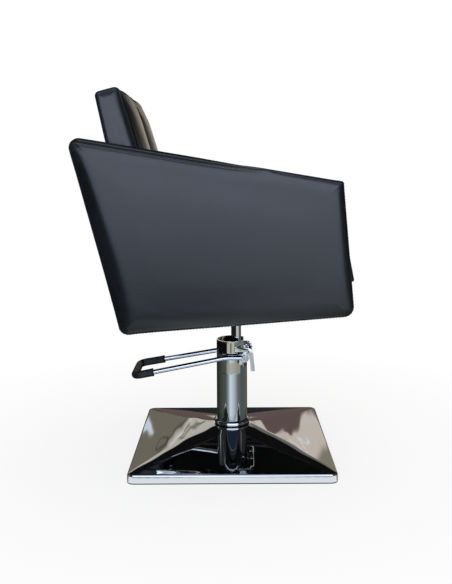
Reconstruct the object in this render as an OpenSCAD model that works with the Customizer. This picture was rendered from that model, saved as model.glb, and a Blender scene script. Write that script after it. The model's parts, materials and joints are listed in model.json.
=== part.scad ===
// Hydraulic hairdressing chair: padded seat with sloping side panels on a foot-pumped column.
// Origin: the column's axis on the floor. The chair faces +X, its left arm is towards +Y, +Z is up.
// The seat, back and arms are drawn level in their own frame, which is then tipped back as one.

/* [Base] */
// Side of the square base
base_side = 503; // [420:1:600]
// Corner radius of the base seen from above
base_corner_r = 18; // [12:1:30]
// Height of the upright rim
rim_h = 22; // [18:1:32]
// Radius where the rim turns into the slope
rim_edge_r = 5; // [3:0.5:8]
// Height of the cover where it meets the column
peak_h = 62; // [50:1:90]
// Thickness of the pressed cover
cover_t = 2; // [1.2:0.1:3]
// Width of the flat landing round the column
landing_w = 8; // [7.5:0.5:12]
// Thickness of the rubber gasket under the base
gasket_t = 2.5; // [1.5:0.5:5]
// Width of the gasket's band
gasket_w = 32; // [20:1:50]
// Thickness of the ballast plate
ballast_t = 6; // [5:0.5:10]

/* [Column] */
// Outer diameter of the chromed column
casing_d = 82; // [80:1:90]
// Wall of the chromed column
casing_wall = 2.5; // [1.5:0.1:3]
// Height above the floor of the joint between the two tubes
joint_z = 203; // [195:1:215]
// Height of the upper sleeve
sleeve_h = 85; // [80:1:95]
// Half the width of the slot in the sleeve's front
slot_half = 25; // [24.7:0.1:26]
// Depth of the slot below the pivot
slot_below = 20; // [16:1:26]
// Height of the bead ring at the column's foot
ring_h = 15; // [11:1:15]
// Diameter of the foot flange
flange_d = 150; // [130:5:200]
// Thickness of the foot flange
flange_t = 8; // [6:1:12]
// Diameter of the circle of flange bolts
flange_circle_d = 120; // [110:1:126]
// Diameter of the flange bolts
flange_bolt_d = 10; // [8:1:12]

/* [Pump] */
// Forward offset of the lifting rod from the column's axis
rod_x = 12; // [10:0.5:13]
// Diameter of the lifting rod
rod_d = 27; // [25:0.5:27.5]
// Outer diameter of the pump cylinder
cylinder_d = 40; // [38:0.5:41]
// Bore of the pump cylinder
cylinder_bore = 34; // [33:0.5:35]
// Space left above the piston at the top of its travel
piston_ceiling = 23; // [16:1:26]
// Height of the gland's collar
gland_h = 8; // [6:0.5:10]
// Depth of the gland inside the cylinder
gland_depth = 24; // [18:1:28]
// Outer diameter of the guide bush
bush_d = 31; // [30.5:0.1:31.5]
// Length of the guide bush
bush_h = 22; // [14:1:22]
// Outer diameter of the wiper seal
wiper_d = 35; // [33:0.5:36]
// Height of the wiper seal
wiper_h = 5; // [3:0.5:5.5]
// Travel of the rod down from where it is drawn
lift_down = 65; // [50:1:65]
// Travel of the rod up from where it is drawn
lift_up = 85; // [70:1:95]
// Space left under the piston at the bottom of its travel
piston_floor = 22; // [12:1:26]
// Length of the piston
piston_h = 26; // [22:1:30]
// Height of the piston's seal
seal_h = 6; // [4:0.5:8]
// Diameter of the spigot that the piston turns on
spigot_d = 16; // [12:0.5:18]
// Thickness of the thrust washer
thrust_t = 2.5; // [1.5:0.5:4]
// Depth of the pump head below the tube joint
head_below = 20; // [14:1:30]
// Height of the pump head above the tube joint
head_above = 6; // [4:0.5:8]
// Distance of the plunger behind the column's axis
plunger_x = 22; // [21.5:0.1:22.5]
// Diameter of the plunger
plunger_d = 12; // [10:0.5:12.5]
// Length of the plunger
plunger_h = 85; // [80:1:90]
// Wire diameter of the plunger spring
spring_wire = 2; // [1.5:0.1:2.2]
// Number of turns of the plunger spring
spring_turns = 6; // [4:1:7]

/* [Pedal] */
// Distance of the pedal's pivot in front of the column's axis
pivot_x = 32.5; // [32:0.1:33]
// Depth of the pivot below the top of the sleeve
pivot_below = 40; // [38:0.5:43]
// Thickness of the yoke's plate
yoke_t = 3; // [2:0.5:3]
// Gap between the column and the yoke's cheeks
yoke_gap = 1; // [0.8:0.1:2]
// Width of the strap that the yoke's cheeks are cut as
strap_w = 11; // [9:0.5:12]
// Reach of the yoke's front in front of the pivot
strap_reach = 24.5; // [24:0.5:28]
// Distance that the yoke's front leans forward on its way down
strap_lean = 4; // [0:0.5:6]
// Height of the yoke's top above the pivot
strap_up = 24; // [23:0.5:25]
// Depth of the yoke's front below the pivot
strap_down = 37; // [28:1:40]
// Height of the fork arms
fork_h = 12; // [11:0.5:12]
// Diameter of the cross pin that presses the plunger
cross_pin_d = 8; // [6:0.5:8.5]
// Diameter of the shoulder of the pivot bolts
shoulder_d = 10; // [9:0.5:11]
// Diameter of the thread of the pivot bolts
pivot_thread_d = 8; // [6:0.5:8]
// Diameter of the pedal bar
bar_d = 12.5; // [11:0.5:13]
// Length of the level part of the bar behind the pivot
bar_level = 50; // [36:1:56]
// Reach of the crossbar behind the column's axis
bar_reach = 255.5; // [220:0.5:280]
// Drop of the crossbar below the pivot
bar_drop = 42; // [30:1:50]
// Half the spacing of the legs at the crossbar
bar_half = 65; // [60:1:70]
// Radius of the bends at the crossbar
bar_bend = 22; // [18:1:28]
// Diameter of the rubber grip
grip_d = 20; // [17:0.5:22]
// Length of the grip along the right leg
grip_near = 51; // [40:1:80]
// Length of the grip along the left leg
grip_far = 70; // [40:1:90]

/* [Seat] */
// Height above the floor of the seat frame's datum over the rod
seat_z = 380.9; // [376:0.1:395]
// Backward tilt of the whole seat, in degrees
seat_tilt = 4.4; // [3:0.1:6]
// Depth of the hub below the datum
hub_below = 24; // [20:1:26]
// Height of the hub above the datum
hub_above = 46; // [40:1:48]
// Diameter of the hub
hub_d = 50; // [44:1:56]
// Side of the mounting plate
plate_side = 200; // [160:5:240]
// Thickness of the mounting plate
plate_t = 6; // [4:0.5:8]
// Height of the frame's underside above the datum
frame_up = 8; // [6:0.5:10]
// Height of the seat frame
frame_h = 50; // [44:1:56]
// Thickness of the frame's rails
rail_t = 20; // [16:1:24]
// Thickness of the frame's bottom board
floor_t = 15; // [12:1:18]
// Reach of the frame in front of the rod
frame_front = 261; // [240:1:266]
// Reach of the frame behind the rod
frame_rear = 187; // [178:1:198]
// Thickness of the board under the cushion
board_t = 12; // [9:1:15]
// Width of the cushion and of the backrest
seat_w = 460; // [420:5:500]
// Reach of the cushion's nose in front of the rod
nose_reach = 291; // [278:1:300]
// Thickness of the cushion at its edges
cushion_t = 88; // [70:1:100]
// Crown of the cushion's top
cushion_crown = 11; // [6:1:14]
// Fixing bolts of the seat, arms and back
fixing_d = 8; // [6:0.5:8]

/* [Back] */
// Height of the backrest's top corner above the datum
back_top = 581; // [520:1:620]
// Reach of the backrest's rear face behind the rod at its foot
back_foot_rear = 226; // [218:1:234]
// Reach of the backrest's front crest behind the rod at its foot
back_foot_front = 110.5; // [106:0.5:118]
// Backward lean of the rear face, in degrees
back_lean_rear = 8.1; // [7:0.1:9.5]
// Backward lean of the front face, in degrees
back_lean_front = 12.4; // [11.5:0.1:13]
// Depth of the centre and side seams behind the crests
channel_depth = 17; // [8:1:20]
// Thickness of the board inside the backrest
back_board_t = 18; // [12:1:20]
// Width of the board inside the backrest
back_board_w = 400; // [340:5:410]
// Thickness of the brackets of the backrest
bracket_t = 5; // [4:0.5:6]
// Width of the brackets of the backrest
bracket_w = 40; // [30:1:50]
// Distance of the brackets from the middle
bracket_y = 130; // [90:1:150]

/* [Arms] */
// Thickness of an arm panel
arm_t = 70; // [60:1:80]
// Reach of the panel's front edge in front of the rod
arm_front = 274.5; // [266:0.5:282]
// Height of the panel's front edge
arm_front_h = 314.5; // [280:1:340]
// Reach of the panel's lower rear corner behind the rod
arm_foot_rear = 269.5; // [262:0.5:280]
// Reach of the panel's upper rear corner behind the rod
arm_top_rear = 361; // [340:1:380]
// Height of the panel's upper rear corner
arm_rear_h = 474.5; // [430:0.5:500]
// Radius of the rolled edge
arm_edge_r = 11; // [8:1:13]
// Crown of the panel's faces
arm_crown = 1.5; // [0.5:0.5:3]
// Thickness of the board inside the panel
arm_board_t = 36; // [24:1:40]
// Distance of the board's edge from the panel's edge
arm_board_inset = 16; // [14:1:24]

/* [Fits] */
// Radial clearance of a running fit
run_gap = 0.05; // [0.02:0.01:0.08]
// Clearance between pieces that slip together
slip_gap = 0.2; // [0.1:0.05:0.3]
// Clearance between moving faces
face_gap = 0.3; // [0.3:0.05:0.4]
// Clearance between upholstered faces
pad_gap = 2; // [1.5:0.5:3]

/* [Hidden] */
$fn = 64;
over = 1;

// Heights above the floor, from the gasket up.
plate_top = gasket_t + ballast_t;
flange_top = plate_top + flange_t;
casing_r = casing_d / 2;
casing_bore = casing_d - 2 * casing_wall;
sleeve_top = joint_z + sleeve_h;
head_top = joint_z + head_above;
head_bottom = joint_z - head_below;
landing_r = casing_r + landing_w;
cover_hole_gap = 1;

// Pedal linkage. The plunger goes down as the pedal does.
pivot_z = sleeve_top - pivot_below;
lever = pivot_x + plunger_x;
pedal_swing = 22;
plunger_stroke = lever * sin(pedal_swing);
cheek_in = casing_r + yoke_gap;
cheek_out = cheek_in + yoke_t;
fork_side_share = 0.14;
fork_out = slot_half - (slot_half - cylinder_d / 2) * fork_side_share;
fork_t = yoke_t;
fork_in = fork_out - fork_t;
boss_r = 8;
boss_root = slot_half + face_gap;
boss_end = cheek_in - face_gap;
eye_t = bar_d / 2;
eye_r = 9.5;
eye_out = cheek_out + eye_t;
pivot_head_d = 14;
pivot_head_h = 6;
pivot_grip = 12;
hex_share = 0.5;
strap_end_h = 10;
strap_bend_share = 1.333;
strap_bend_r = strap_w * strap_bend_share;
strap_tail = 24.5;
cheek_disc_r = 14.2;
tab_w = 8;
tab_rear = 12.5;
tab_down = 21;
leg_y = cheek_out + bar_d / 2;

// Plunger and its spring, worked out down from the cross pin.
plunger_top = pivot_z - cross_pin_d / 2 - face_gap;
plunger_bottom = plunger_top - plunger_h;
barrel_floor = 4;
barrel_wall = 5.4;
barrel_spare = 2;
barrel_d = plunger_d + 2 * barrel_wall;
barrel_bottom = plunger_bottom - plunger_stroke - barrel_spare;
cup_h = 4;
cup_d = 19;
spring_clear = 0.75;
spring_d = plunger_d + 2 * spring_clear + spring_wire;
spring_pocket_d = spring_d + spring_wire + 2 * spring_clear;
spring_pocket = 14;
spring_bottom = head_top - spring_pocket;
spring_top = plunger_top - cup_h;

// Filler plug on the pump head.
filler_y = 28;
filler_x = 5;
filler_d = 8;
filler_depth = 9;
filler_hex = 13;
filler_h = 5;

// Piston and rod, worked out from the travel.
piston_z = flange_top + lift_down + piston_floor;
piston_top = piston_z + piston_h;
rod_foot = piston_top + thrust_t;
cylinder_top = rod_foot + lift_up + piston_ceiling + gland_depth;
seal_depth = 3;
seal_d = cylinder_bore - 2 * run_gap;
groove_d = seal_d - 2 * seal_depth;
piston_bolt_d = 8;
piston_bolt_h = 18;
piston_head_d = 20;
piston_head_h = 5;
hub_top = seat_z + hub_above;
hub_bottom = seat_z - hub_below;
hub_roof = 3;
rod_top = hub_top - hub_roof;
rod_chamfer = 1.5;
hub_screw_d = 8;
hub_screw_up = 9;
hub_screw_z = hub_bottom + hub_screw_up;
screw_proud = 3;

// Levels and reaches in the seat's own frame: u forward, w up.
board_bottom = frame_up + frame_h;
cushion_bottom = board_bottom + board_t;
cushion_top = cushion_bottom + cushion_t;
arm_in = seat_w / 2 + pad_gap;
frame_half = arm_in - face_gap;
arm_mid = arm_in + arm_t / 2;
plate_bottom = frame_up - plate_t;
plate_bolt_inset = 18;
gusset_t = 5;
gusset_reach = 34;
gusset_h = 17;
plate_corner_r = 12;
rebate_share = 0.5;
fixing_head_share = 1.6;
bolt_end_gap = 2;
mount_bolt_h = plate_t + floor_t - bolt_end_gap;
arm_bolt_places = [-0.72, 0.12, 0.82];
arm_bolt_share_w = 0.55;
arm_bolt_bite = 26;
arm_hole_gap = 0.5;

// Backrest: the front crest and the rear face are two leaning lines above the foot.
back_foot_gap = 2;
back_foot = cushion_bottom + back_foot_gap;
back_rear_run = tan(back_lean_rear);
back_front_run = tan(back_lean_front);
back_board_run = (back_rear_run + back_front_run) / 2;
back_edge_r = 12;
back_top_fall = 5;
channel_sharp = 0.55;
back_board_low = 20;
back_board_high = 30;
bracket_foot = 14;
bracket_rise = 190;
bracket_knee_gap = 4;
bracket_knee = cushion_bottom - bracket_knee_gap;
bracket_bolt_low = 12;
bracket_bolt_high = 36;
bracket_bolt_h = 22;

// Colours as the photograph shows them.
leather = "#3a4048";
chrome = "#c9ccd0";
black_rubber = "#1b1c1e";
cast_grey = "#5d6166";
steel = "#8d9196";
plywood = "#b48a5a";
bronze = "#a9824a";

// Geometry helpers

function unit(v) = v / norm(v);
function left_of(v) = [-v[1], v[0]];
function bezier(a, b, c, steps) =
    [for (k = [0 : steps]) let (t = k / steps) a * pow(1 - t, 2) + b * 2 * t * (1 - t) + c * t * t];

// Points of one rounded corner of an anticlockwise outline that has moved in by inset.
corner_steps = 4;
least_r_share = 0.12;
function corner(c, i, r, inset) =
    let (
        n = len(c),
        n1 = left_of(unit(c[i] - c[(i + n - 1) % n])),
        n2 = left_of(unit(c[(i + 1) % n] - c[i])),
        rho = max(r - inset, r * least_r_share),
        middle = c[i] + (n1 + n2) * (inset + rho) / (1 + n1 * n2),
        first = atan2(-n1[1], -n1[0]),
        turn = atan2(cross(n1, n2), n1 * n2)
    )
    [for (k = [0 : corner_steps])
        let (a = first + turn * k / corner_steps) middle + rho * [cos(a), sin(a)]];

// The whole outline: rounded corners, and edges that bow outwards by bows * swell.
edge_steps = 4;
function outline(c, radii, bows, inset, swell) =
    let (n = len(c), arcs = [for (i = [0 : n - 1]) corner(c, i, radii[i], inset)])
    [for (i = [0 : n - 1]) each concat(
        arcs[i],
        let (
            a = arcs[i][corner_steps],
            b = arcs[(i + 1) % n][0],
            out = -left_of(unit(c[(i + 1) % n] - c[i]))
        )
        [for (k = [1 : edge_steps - 1])
            let (t = k / edge_steps) a + (b - a) * t + out * bows[i] * swell * sin(180 * t)]
    )];

// A rounded square seen from above, at height z.
square_steps = 11;
function square_ring(half, r, z) =
    [for (q = [0 : 3]) for (k = [0 : square_steps])
        let (
            a = 90 * (q + k / square_steps),
            c = (half - r) * [cos(90 * q + 45), sin(90 * q + 45)] * sqrt(2)
        )
        [c[0] + r * cos(a), c[1] + r * sin(a), z]];

function reversed(list) = [for (k = [len(list) - 1 : -1 : 0]) list[k]];
function centre(ring) = [for (p = ring) 1] * ring / len(ring);

// Closed skin through rings of equal length, with a fan at each end. Rings run anticlockwise for
// a viewer who looks along the row of rings; upright turns the faces for rings seen from above.
module loft(rings, upright = false) {
    n = len(rings[0]);
    last = len(rings) - 1;
    points = concat([for (r = rings) each r], [centre(rings[0]), centre(rings[last])]);
    sides = [for (i = [0 : last - 1]) for (j = [0 : n - 1])
        let (a = i * n + j, b = i * n + (j + 1) % n, c = b + n, d = a + n)
        each [[a, b, c], [a, c, d]]];
    ends = [for (j = [0 : n - 1]) let (k = (j + 1) % n)
        each [[(last + 1) * n, k, j], [(last + 1) * n + 1, last * n + j, last * n + k]]];
    faces = concat(sides, ends);
    polyhedron(points, upright ? [for (f = faces) [f[2], f[1], f[0]]] : faces);
}

// Rings of a round bar along a path. A flute lowers every second point.
function path_tangent(path, i) =
    unit(path[min(i + 1, len(path) - 1)] - path[max(i - 1, 0)]);
function bar_rings(path, r, sides, flute = 0) =
    [for (i = [0 : len(path) - 1])
        let (
            t = path_tangent(path, i),
            side = unit(cross(t, [0, 0, 1])),
            up = cross(side, t)
        )
        [for (k = [0 : sides - 1])
            let (a = 360 * k / sides, q = r - flute * (k % 2))
            path[i] + q * cos(a) * side + q * sin(a) * up]];

module tube(outer, inner, h) {
    difference() {
        cylinder(d = outer, h = h);
        translate([0, 0, -over]) cylinder(d = inner, h = h + 2 * over);
    }
}

module round_square(side, r) {
    square([side - 2 * r, side], center = true);
    square([side, side - 2 * r], center = true);
    for (x = [-1, 1], y = [-1, 1]) translate([x, y] * (side / 2 - r)) circle(r = r);
}

// Socket-head bolt: shank down from the origin, head above it.
module socket_bolt(d, h) {
    translate([0, 0, -h]) cylinder(d = d, h = h + over);
    difference() {
        cylinder(d = d * fixing_head_share, h = d);
        translate([0, 0, d * hex_share]) cylinder(d = d, h = d, $fn = 6);
    }
}

module on_rod() {
    translate([rod_x, 0, 0]) children();
}

// Puts children, drawn level, into the tilted seat.
module seat_place() {
    translate([rod_x, 0, seat_z]) rotate([0, -seat_tilt, 0]) children();
}

// Base

slope_angle = atan((peak_h - rim_h) / (base_side / 2 - landing_r));
rim_steps = 4;
round_share = 0.97;
function cover_rings(grow, low) =
    let (half = base_side / 2 + grow, r = base_corner_r + grow, edge = rim_edge_r + grow)
    concat(
        [square_ring(half, r, low)],
        [for (k = [0 : rim_steps])
            let (a = (90 - slope_angle) * k / rim_steps, pull = edge * (1 - cos(a)))
            square_ring(half - pull, r - pull, rim_h + grow - edge + edge * sin(a))],
        [square_ring(landing_r + grow, (landing_r + grow) * round_share, peak_h + grow)]
    );

module base_cover() color(chrome) {
    difference() {
        loft(cover_rings(0, gasket_t), upright = true);
        loft(cover_rings(-cover_t, -over), upright = true);
        cylinder(r = casing_r + cover_hole_gap, h = peak_h + over);
    }
}

module bolt_circle() {
    for (a = [45 : 90 : 315]) rotate([0, 0, a]) translate([flange_circle_d / 2, 0, 0]) children();
}

module ballast_plate() color(steel) {
    difference() {
        translate([0, 0, gasket_t]) linear_extrude(ballast_t)
            round_square(base_side - 2 * (cover_t + face_gap), base_corner_r - cover_t);
        bolt_circle() cylinder(d = flange_bolt_d + slip_gap, h = plate_top + over);
    }
}

module floor_gasket() color(black_rubber) {
    linear_extrude(gasket_t) difference() {
        round_square(base_side, base_corner_r);
        round_square(base_side - 2 * gasket_w, base_corner_r);
    }
}

ring_foot_w = 5;
module trim_ring() color(chrome) {
    rotate_extrude() translate([casing_r + slip_gap, peak_h]) intersection() {
        union() {
            translate([0, ring_h / 2]) circle(d = ring_h);
            square([ring_foot_w, ring_h / 2]);
        }
        square([ring_h, ring_h]);
    }
}

// Column and pump

module pump_flange() color(steel) {
    difference() {
        translate([0, 0, plate_top]) cylinder(d = flange_d, h = flange_t);
        bolt_circle() cylinder(d = flange_bolt_d + slip_gap, h = flange_top + over);
    }
}

module flange_bolts() color(steel) {
    bolt_circle() translate([0, 0, flange_top])
        socket_bolt(flange_bolt_d, flange_t + ballast_t - over);
}

module reservoir_tube() color(chrome) {
    translate([0, 0, flange_top]) tube(casing_d, casing_bore, joint_z - flange_top);
}

module pump_head() color(cast_grey) {
    difference() {
        union() {
            translate([0, 0, head_bottom])
                cylinder(d = casing_bore - 2 * slip_gap, h = head_top - head_bottom);
            translate([-plunger_x, 0, barrel_bottom - barrel_floor])
                cylinder(d = barrel_d, h = head_top - barrel_bottom);
        }
        on_rod() translate([0, 0, flange_top])
            cylinder(d = cylinder_d + slip_gap, h = sleeve_top);
        translate([-plunger_x, 0, barrel_bottom])
            cylinder(d = plunger_d + 2 * run_gap, h = head_top);
        translate([-plunger_x, 0, spring_bottom])
            cylinder(d = spring_pocket_d, h = head_top);
        translate([-filler_x, filler_y, head_top - filler_depth])
            cylinder(d = filler_d + slip_gap, h = head_top);
    }
}

module filler_plug() color(steel) {
    translate([-filler_x, filler_y, head_top]) {
        cylinder(d = filler_hex, h = filler_h, $fn = 6);
        translate([0, 0, over - filler_depth]) cylinder(d = filler_d, h = filler_depth);
    }
}

module pump_cylinder() color(steel) {
    on_rod() translate([0, 0, flange_top])
        tube(cylinder_d, cylinder_bore, cylinder_top - flange_top);
}

module cylinder_gland() color(cast_grey) {
    on_rod() difference() {
        union() {
            translate([0, 0, cylinder_top]) cylinder(d = cylinder_d, h = gland_h);
            translate([0, 0, cylinder_top - gland_depth])
                cylinder(d = cylinder_bore - 2 * run_gap, h = gland_depth + over);
        }
        translate([0, 0, head_top]) cylinder(d = rod_d + 2 * slip_gap, h = sleeve_top);
        translate([0, 0, cylinder_top - gland_depth - over])
            cylinder(d = bush_d + 2 * run_gap, h = bush_h + over);
        translate([0, 0, cylinder_top + gland_h - wiper_h])
            cylinder(d = wiper_d + 2 * run_gap, h = gland_h);
    }
}

module guide_bush() color(bronze) {
    on_rod() translate([0, 0, cylinder_top - gland_depth])
        tube(bush_d, rod_d + 2 * run_gap, bush_h);
}

// The wiper stands in the gland and has a thin lip round the rod.
wiper_lip_share = 0.25;
module wiper_seal() color(black_rubber) {
    lip = (wiper_d - rod_d) * wiper_lip_share;
    inner = rod_d / 2 + run_gap;
    on_rod() translate([0, 0, cylinder_top + gland_h - wiper_h]) rotate_extrude()
        polygon([[inner, 0], [wiper_d / 2, 0], [wiper_d / 2, wiper_h],
                 [inner + lip, wiper_h], [inner, wiper_h + lip]]);
}

// Axis of the pivot bolts, pointing away from the column on the side given by its sign.
module pivot_side(s, y) {
    translate([pivot_x, s * y, pivot_z]) rotate([-90 * s, 0, 0]) children();
}

module upper_sleeve() color(chrome) {
    difference() {
        union() {
            difference() {
                translate([0, 0, joint_z]) tube(casing_d, casing_bore, sleeve_h);
                translate([0, -slot_half, pivot_z - slot_below])
                    cube([casing_d, 2 * slot_half, sleeve_h]);
            }
            for (s = [-1, 1]) pivot_side(s, boss_root)
                cylinder(r = boss_r, h = boss_end - boss_root);
        }
        for (s = [-1, 1]) pivot_side(s, 0)
            cylinder(d = pivot_thread_d + 2 * run_gap, h = casing_d);
    }
}

// Shoulder bolts: the thread is in the sleeve's boss and the pedal turns on the shoulder.
module pivot_bolts() color(chrome) {
    for (s = [-1, 1]) {
        pivot_side(s, boss_end - pivot_grip) cylinder(d = pivot_thread_d, h = pivot_grip + over);
        pivot_side(s, boss_end) cylinder(d = shoulder_d, h = eye_out + face_gap - boss_end);
        pivot_side(s, eye_out + face_gap) difference() {
            cylinder(d = pivot_head_d, h = pivot_head_h);
            translate([0, 0, pivot_head_h * hex_share])
                cylinder(d = pivot_head_d * hex_share, h = pivot_head_h, $fn = 6);
        }
    }
}

// Ram

module piston() color(steel) {
    on_rod() translate([0, 0, piston_z]) difference() {
        cylinder(d = cylinder_bore - 2 * run_gap, h = piston_h);
        translate([0, 0, -over]) cylinder(d = spigot_d + 2 * run_gap, h = piston_h + 2 * over);
        translate([0, 0, (piston_h - seal_h) / 2]) tube(cylinder_bore + over, groove_d, seal_h);
    }
}

module piston_seal() color(black_rubber) {
    on_rod() translate([0, 0, piston_z + (piston_h - seal_h) / 2])
        tube(seal_d, groove_d + 2 * run_gap, seal_h);
}

module thrust_washer() color(bronze) {
    on_rod() translate([0, 0, piston_top]) tube(rod_d, spigot_d + 2 * run_gap, thrust_t);
}

// Seat carrier

module lift_rod() color(chrome) {
    on_rod() difference() {
        union() {
            translate([0, 0, piston_z]) cylinder(d = spigot_d, h = piston_h + thrust_t + over);
            translate([0, 0, rod_foot]) cylinder(d = rod_d, h = rod_top - rod_chamfer - rod_foot);
            translate([0, 0, rod_top - rod_chamfer])
                cylinder(d1 = rod_d, d2 = rod_d - 2 * rod_chamfer, h = rod_chamfer);
        }
        translate([0, 0, piston_z - over])
            cylinder(d = piston_bolt_d + 2 * run_gap, h = piston_bolt_h + 2 * over);
    }
}

module piston_bolt() color(steel) {
    on_rod() translate([0, 0, piston_z - face_gap]) {
        cylinder(d = piston_bolt_d, h = piston_bolt_h);
        translate([0, 0, -piston_head_h]) cylinder(d = piston_head_d, h = piston_head_h);
    }
}

module plate_corners() {
    for (x = [-1, 1], y = [-1, 1])
        translate([x, y, 0] * (plate_side / 2 - plate_bolt_inset)) children();
}

// Hub, plate and four gussets, welded together.
module seat_mount() color(cast_grey) {
    difference() {
        union() {
            on_rod() translate([0, 0, hub_bottom]) cylinder(d = hub_d, h = hub_top - hub_bottom);
            seat_place() {
                translate([0, 0, plate_bottom]) linear_extrude(plate_t)
                    round_square(plate_side, plate_corner_r);
                for (a = [0 : 90 : 270]) rotate([0, 0, a])
                    translate([0, gusset_t / 2, plate_bottom]) rotate([90, 0, 0])
                    linear_extrude(gusset_t)
                    polygon([[hub_d / 2 - over, over], [hub_d / 2 + gusset_reach, over],
                             [hub_d / 2 + gusset_reach, 0], [hub_d / 2, -gusset_h],
                             [hub_d / 2 - over, -gusset_h]]);
            }
        }
        on_rod() translate([0, 0, hub_bottom - over])
            cylinder(d = rod_d + 2 * run_gap, h = rod_top - hub_bottom + over + face_gap);
        seat_place() plate_corners() translate([0, 0, plate_bottom - over])
            cylinder(d = fixing_d + slip_gap, h = plate_t + 2 * over);
        on_rod() translate([0, 0, hub_screw_z]) rotate([0, 90, 0])
            cylinder(d = hub_screw_d + 2 * run_gap, h = hub_d);
        on_rod() translate([0, 0, hub_screw_z]) rotate([0, -90, 0])
            cylinder(d = hub_screw_d + 2 * run_gap, h = hub_d);
    }
}

// Two set screws lock the hub on the rod, from the front and from behind.
module hub_screws() color(steel) {
    reach = hub_d / 2 + screw_proud;
    on_rod() for (s = [-1, 1]) translate([0, 0, hub_screw_z]) rotate([0, 90 * s, 0])
        difference() {
            translate([0, 0, rod_d / 2]) cylinder(d = hub_screw_d, h = reach - rod_d / 2);
            translate([0, 0, reach - screw_proud])
                cylinder(d = hub_screw_d * hex_share, h = screw_proud + over, $fn = 6);
        }
}

module mount_bolts() color(steel) {
    seat_place() plate_corners() translate([0, 0, plate_bottom]) rotate([180, 0, 0])
        socket_bolt(fixing_d, mount_bolt_h);
}

// A block over the frame's outline, drawn in by inset on all four sides.
module frame_block(inset, w, h) {
    translate([inset - frame_rear, inset - frame_half, w])
        cube([frame_front + frame_rear - 2 * inset, 2 * (frame_half - inset), h]);
}

// Seat frame: a glued box of rails on a bottom board, rebated for the seat board that closes it.
module seat_frame() color(black_rubber) {
    difference() {
        seat_place() difference() {
            frame_block(0, frame_up, frame_h + board_t);
            frame_block(rail_t, frame_up + floor_t, frame_h);
            frame_block(rail_t * rebate_share, board_bottom, frame_h);
            plate_corners() cylinder(d = fixing_d + slip_gap, h = frame_up + floor_t + over);
            arm_bolt_holes(frame_half - rail_t - over, fixing_d + slip_gap, rail_t + 2 * over);
            bracket_bolt_holes(fixing_d + slip_gap);
        }
        on_rod() translate([0, 0, hub_bottom])
            cylinder(d = hub_d + 2 * slip_gap, h = hub_top - hub_bottom + over);
    }
}

module seat_board() color(plywood) {
    seat_place() frame_block(rail_t * rebate_share + slip_gap, board_bottom, board_t);
}

module arm_bolt_places_at(y) {
    for (s = [-1, 1], share = arm_bolt_places)
        translate([share * (share < 0 ? frame_rear : frame_front), s * y,
                   frame_up + frame_h * arm_bolt_share_w])
        rotate([-90 * s, 0, 0]) children();
}

module arm_bolt_holes(y, d, h) {
    arm_bolt_places_at(y) cylinder(d = d, h = h);
}

module bracket_bolt_places_at() {
    for (s = [-1, 1], w = [bracket_bolt_low, bracket_bolt_high])
        translate([-frame_rear - bracket_t, s * bracket_y, frame_up + w])
        rotate([0, -90, 0]) children();
}

module bracket_bolt_holes(d) {
    bracket_bolt_places_at() translate([0, 0, -bracket_bolt_h - over])
        cylinder(d = d, h = bracket_bolt_h + bracket_t + over);
}

// Cushion: side outlines across the width. The nose leans, the top is crowned and the ends are round.
cushion_lean = 9;
cushion_radii = [10, 5, 30, 14];
cushion_end_r = 14;
cushion_corners = [
    [-back_foot_front + pad_gap, cushion_bottom],
    [nose_reach, cushion_bottom],
    [nose_reach - cushion_lean, cushion_top],
    [-back_foot_front + pad_gap - cushion_t * back_front_run, cushion_top]
];
cushion_bow_shares = [0, 0.18, 1, 0];

// Places across the width, as shares of the straight part, and the quarter turns of the ends.
width_shares = [-1, -0.86, -0.62, -0.32, 0, 0.32, 0.62, 0.86, 1];
end_turns = [90, 60, 30];

function end_stations(half, r) = [for (a = end_turns) [r * (1 - cos(a)), half - r + r * sin(a)]];
crown_sharp = 2.6;
function crown_at(share) = 1 - pow(abs(share), crown_sharp);

function cushion_ring(inset, y, swell) =
    [for (p = outline(cushion_corners, cushion_radii,
                      cushion_bow_shares * cushion_crown, inset, swell))
        [p[0], y, max(p[1], cushion_bottom)]];

module seat_cushion() color(leather) {
    half = seat_w / 2;
    flat = half - cushion_end_r;
    ends = end_stations(half, cushion_end_r);
    seat_place() loft(concat(
        [for (e = ends) cushion_ring(e[0], -e[1], 0)],
        [for (s = width_shares) cushion_ring(0, s * flat, crown_at(s))],
        [for (e = reversed(ends)) cushion_ring(e[0], e[1], 0)]
    ));
}

// Backrest

function rear_u(w) = -back_foot_rear - (w - back_foot) * back_rear_run;
function front_u(w) = -back_foot_front - (w - back_foot) * back_front_run;
function board_u(w) = -frame_rear - (w - bracket_knee) * back_board_run;

module across(width) {
    translate([0, width / 2, 0]) rotate([90, 0, 0]) linear_extrude(width) children();
}

// A slab that leans with the board, from height low to high and from rear to front of its line.
module leaning(low, high, rear, front, width) {
    across(width) polygon([
        [board_u(low) + rear, low], [board_u(low) + front, low],
        [board_u(high) + front, high], [board_u(high) + rear, high]
    ]);
}

module back_brackets() color(steel) {
    seat_place() difference() {
        for (s = [-1, 1]) translate([0, s * bracket_y, 0]) across(bracket_w) polygon([
            [-frame_rear - bracket_t, bracket_foot], [-frame_rear, bracket_foot],
            [-frame_rear, bracket_knee],
            [board_u(bracket_knee + bracket_rise), bracket_knee + bracket_rise],
            [board_u(bracket_knee + bracket_rise) - bracket_t, bracket_knee + bracket_rise],
            [-frame_rear - bracket_t, bracket_knee]
        ]);
        bracket_bolt_holes(fixing_d + slip_gap);
    }
}

module bracket_bolts() color(steel) {
    seat_place() bracket_bolt_places_at() socket_bolt(fixing_d, bracket_bolt_h);
}

module back_board() color(plywood) {
    seat_place() leaning(back_foot + back_board_low, back_top - back_board_high,
                         0, back_board_t, back_board_w);
}

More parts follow.
